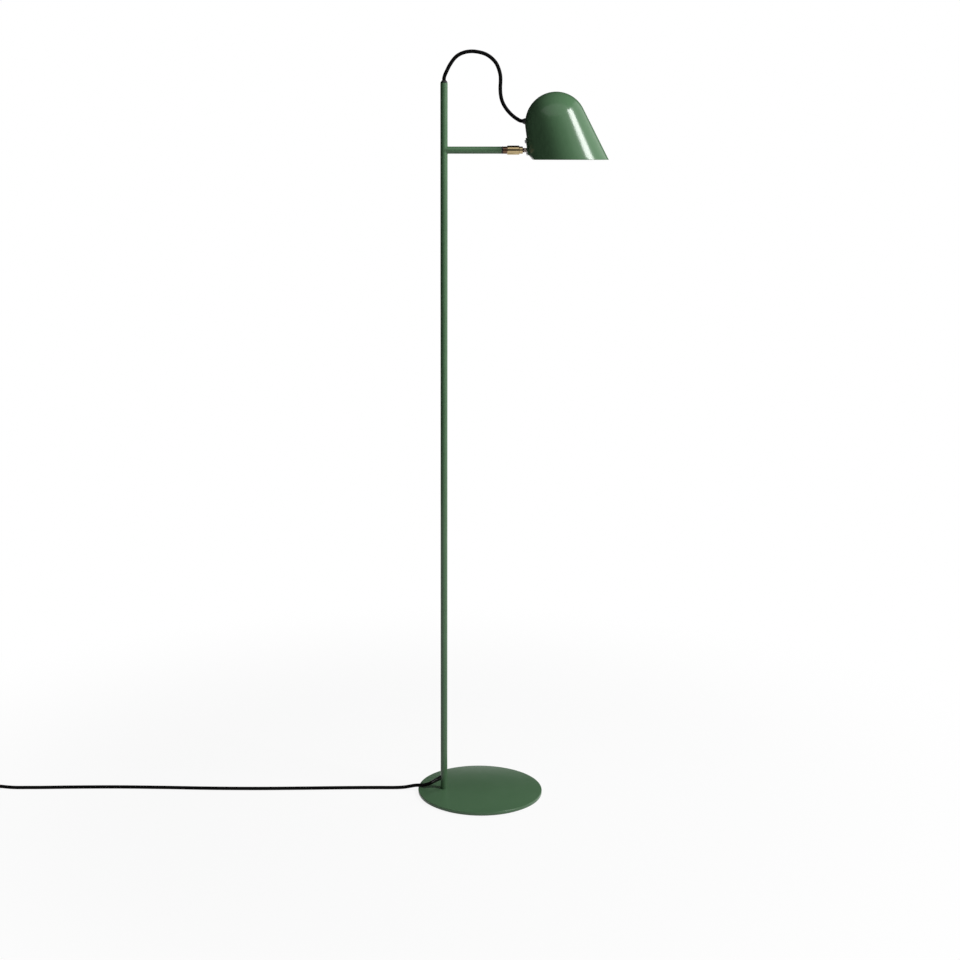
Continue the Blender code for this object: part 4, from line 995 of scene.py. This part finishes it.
plug = {
    "x": -0.933, "z": 0.0072, "long": 0.035, "wide": 0.0353, "thick": 0.0137, "neck": 0.015, "taper": 0.0193,
    "boot": 0.020, "bootRadius": 0.0050, "bootEnd": 0.0037, "ribs": 5, "firstRib": 0.0035, "ribPitch": 0.0030,
    "groove": 0.0006, "pin": 0.019, "pinRadius": 0.0020, "sleeve": 0.010, "sleeveRadius": 0.0019, "spacing": 0.019,
    "gap": 0.0003,
}


def makePlugBody():
    # outlines along the plug, as a place with a share of the width and of the thickness there
    y, z = coil["tailY"], plug["z"]
    taper, long = plug["taper"], plug["long"]
    stations = [
        (0.0, 0.78, 0.60), (0.0006, 0.94, 0.72), (0.0016, 1.0, 0.80), (taper * 0.5, 1.0, 0.92),
        (taper - 0.002, 1.0, 1.0), (taper + 0.001, 1.0, 1.0), (long - 0.0016, 1.0, 1.0),
        (long - 0.0005, 0.975, 0.95), (long, 0.93, 0.86),
    ]
    rings = []
    for x, widthShare, thickShare in stations:
        run = min(1.0, x / taper)
        wide = (plug["neck"] + (plug["wide"] - plug["neck"]) * run) * widthShare
        thick = plug["thick"] * thickShare
        outline = roundedBox(wide, thick, min(thick, wide) * 0.32, 7)
        rings.append([(plug["x"] + x, y + p, z + q) for p, q in outline])
    mesh = skin("plugBody", rings, capped=True)
    piece("plugBody", mesh, blackPlastic, "stand", "black_plastic", "plug_body")

def makeBoot():
    corners = [(0, 0, 0), (plug["bootRadius"], 0, 0.0005)]
    for i in range(plug["ribs"]):
        down = -(plug["firstRib"] + i * plug["ribPitch"])
        radius = plug["bootRadius"] + (plug["bootEnd"] - plug["bootRadius"]) * -down / plug["boot"]
        deep = radius - plug["groove"]
        corners += [(radius, down, 0.0002), (deep, down - 0.0003, 0.0002), (deep, down - 0.0013, 0.0002),
                    (radius - 0.0001, down - 0.0016, 0.0002)]
    corners += [(plug["bootEnd"], -plug["boot"], 0.0004), (0, -plug["boot"], 0)]
    mesh = turned("plugBoot", corners, 48, count=2)
    piece("plugBoot", mesh, blackPlastic, "stand", "black_plastic", "plug_boot",
          at=basis((plug["x"] - plug["gap"], coil["tailY"], plug["z"]), (1, 0, 0)))


def makePins():
    # each pin has a dark sleeve and a bright tip
    sleeveEnd, pinEnd = plug["sleeve"], plug["pin"]
    for place, sign in (("left", 1), ("right", -1)):
        name = f"plugPin{place.capitalize()}"
        sleeve = turned("pinSleeve", [
            (0, 0, 0), (plug["sleeveRadius"], 0, 0), (plug["sleeveRadius"], sleeveEnd, 0.0001), (0, sleeveEnd, 0),
        ], 32)
        tip = turned("pinTip", [
            (0, sleeveEnd + 0.0001, 0), (plug["pinRadius"], sleeveEnd + 0.0001, 0.0001),
            (plug["pinRadius"], pinEnd, 0.0013), (0, pinEnd, 0),
        ], 32)
        secondFinish(tip, lambda spot: True)
        start = (plug["x"] + plug["long"] + plug["gap"], coil["tailY"] + sign * plug["spacing"] / 2, plug["z"])
        piece(name, joined(name, sleeve, tip), [blackPlastic, brass], "stand", "brass", f"plug_pin_{place}",
              at=basis(start, (1, 0, 0)))


tie = {
    "turn": 200, "thick": 0.0007, "gap": 0.0001, "wide": 0.008, "steps": 96,
    "around": [(0.04485, 0.00485), (0.03145, 0.00485), (0.0290, 0.0089), (0.0355, 0.0111), (0.04224, 0.0111)],
}


def makeTie():
    # a soft strap drawn tight round the coil's strands, which "around" lists as radius and height
    turn = math.radians(tie["turn"])
    radial = Vector((math.cos(turn), math.sin(turn), 0))
    ahead = Vector((-math.sin(turn), math.cos(turn), 0))
    middle = Vector((*coil["centre"], 0))
    strands = [Vector(strand) for strand in tie["around"]]

    def loopAt(out, along):
        points = []
        for i in range(tie["steps"]):
            angle = 2 * math.pi * i / tie["steps"]
            push = Vector((math.cos(angle), math.sin(angle)))
            reach = max(strands, key=push.dot) + push * (cordRadius + out)
            points.append(middle + radial * reach.x + upward * reach.y + ahead * along)
        return points

    half, low, high, edge = tie["wide"] / 2, tie["gap"], tie["gap"] + tie["thick"], 0.0002
    section = [(low, -half), (high - edge, -half), (high, edge - half), (high, half - edge), (high - edge, half),
               (low, half)]
    rings = [loopAt(out, along) for out, along in section]
    piece("cordTie", skin("cordTie", rings, loop=True), blackWebbing, "stand", "black_textile", "cord_tie")


makeShells()
makeButton()
makeSpring()
makePlugBody()
makeBoot()
makePins()
makeTie()
print("switch and plug made")


# solids that keep their shape
keptFinishes = {
    "base_felt_pad": blackFelt, "foot_screw": steel, "pole_foot_insert": steel,
    "pole_inner_lead": blackWebbing, "arm_end_plug": steel, "wave_washer": steel, "swivel_nut": steel,
    "shade_lead": blackWebbing, "lampholder_bracket": steel, "bulb_cap": steel,
    "switch_contact_block": paleMoulding,
}
for name, finish in keptFinishes.items():
    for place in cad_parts[name].material_slots:
        place.material = finish


lengthOf(footPath)
lengthOf(risePath)
lengthOf(dropPath)


studio = {
    "worldLight": 0.15, "floorColour": (0.62, 0.62, 0.62), "floorShare": 0.90, "shadowReach": (0.5, 1.4),
    "floorSize": 400.0, "cardColour": (0.02, 0.02, 0.02),
}
# only the key lamp shows in shiny surfaces
lampSet = {
    "keyLamp": {"place": (2.20, -0.96, 2.55), "aim": (0.24, -0.05, 1.24), "size": (0.92, 1.2), "power": 108},
    "topLamp": {"place": (0.5, -0.5, 2.9), "aim": (0.1, 0, 0.8), "size": (1.0, 1.0), "power": 7},
    "rimLamp": {"place": (1.9, 1.5, 2.0), "aim": (0.1, 0, 1.0), "size": (1.0, 1.0), "power": 22},
    "fillLamp": {"place": (0.6, -3.2, 1.6), "aim": (0.1, 0, 0.8), "size": (1.6, 1.6), "power": 17},
}
# dark cards beside, behind and in front of the lamp, out of sight, as a studio uses round shiny things
cardSet = {
    "leftCard": [(-2.8, -4.4, 0.02), (-2.8, 3.2, 0.02), (-2.8, 3.2, 3.6), (-2.8, -4.4, 3.6)],
    "frontCard": [(-2.8, -4.4, 0.02), (2.2, -4.4, 0.02), (2.2, -4.4, 3.4), (-2.8, -4.4, 3.4)],
    "backCard": [(-2.8, 3.2, 0.7), (2.4, 3.2, 0.7), (2.4, 3.2, 3.6), (-2.8, 3.2, 3.6)],
    "topCard": [(-2.8, 3.2, 3.6), (2.4, 3.2, 3.6), (2.4, -0.7, 3.6), (-2.8, -0.7, 3.6)],
}


def panel(name, corners, material):
    mesh = bpy.data.meshes.new(name)
    mesh.from_pydata(corners, [], [(0, 1, 2, 3)])
    mesh.materials.append(material)
    made = bpy.data.objects.new(name, mesh)
    bpy.context.scene.collection.objects.link(made)
    return made


def makeFloor():
    # plain white far away; close to the lamp it keeps a soft shadow
    made = Finish("paleFloor", 0.9)
    made.wear("Base Color", (*studio["floorColour"], 1))
    away = made.add("VectorMath", {"operation": "LENGTH"}, {0: made.place()}, "Value")
    share = studio["floorShare"] + (1 - studio["floorShare"]) * away.smoothFrom(*studio["shadowReach"])
    white = made.add("Emission", sockets={"Strength": 1.0})
    lit = Signal(made, made.shader.outputs[0])
    mixed = made.add("MixShader", sockets={0: made.backgroundRays() * share, 1: lit, 2: white})
    made.feed(made.tree.nodes["Material Output"].inputs["Surface"], mixed)
    reach = studio["floorSize"] / 2
    corners = [(-reach, -reach, 0), (reach, -reach, 0), (reach, reach, 0), (-reach, reach, 0)]
    panel("floor", corners, made.material)


def makeCards():
    made = Finish("darkCard", 0.9)
    made.wear("Base Color", (*studio["cardColour"], 1))
    for name, corners in cardSet.items():
        panel(name, corners, made.material).visible_camera = False


def makeWorld():
    world = bpy.data.worlds.new("studio")
    bpy.context.scene.world = world
    world.use_nodes = True
    made = Nodes(world.node_tree)
    background = made.tree.nodes["Background"].inputs
    light = studio["worldLight"]
    made.feed(background["Color"], (1, 1, 1, 1))
    made.feed(background["Strength"], light + (1 - light) * made.backgroundRays())


def makeLamps():
    for name, look in lampSet.items():
        data = bpy.data.lights.new(name, "AREA")
        data.shape, data.energy = "RECTANGLE", look["power"]
        data.size, data.size_y = look["size"]
        lamp = bpy.data.objects.new(name, data)
        bpy.context.scene.collection.objects.link(lamp)
        lamp.location = look["place"]
        lamp.visible_glossy = name == "keyLamp"
        toward = Vector(look["aim"]) - Vector(look["place"])
        lamp.rotation_euler = toward.to_track_quat("-Z", "Y").to_euler()


makeFloor()
makeCards()
makeWorld()
makeLamps()
bpy.context.scene.view_settings.view_transform = "Standard"
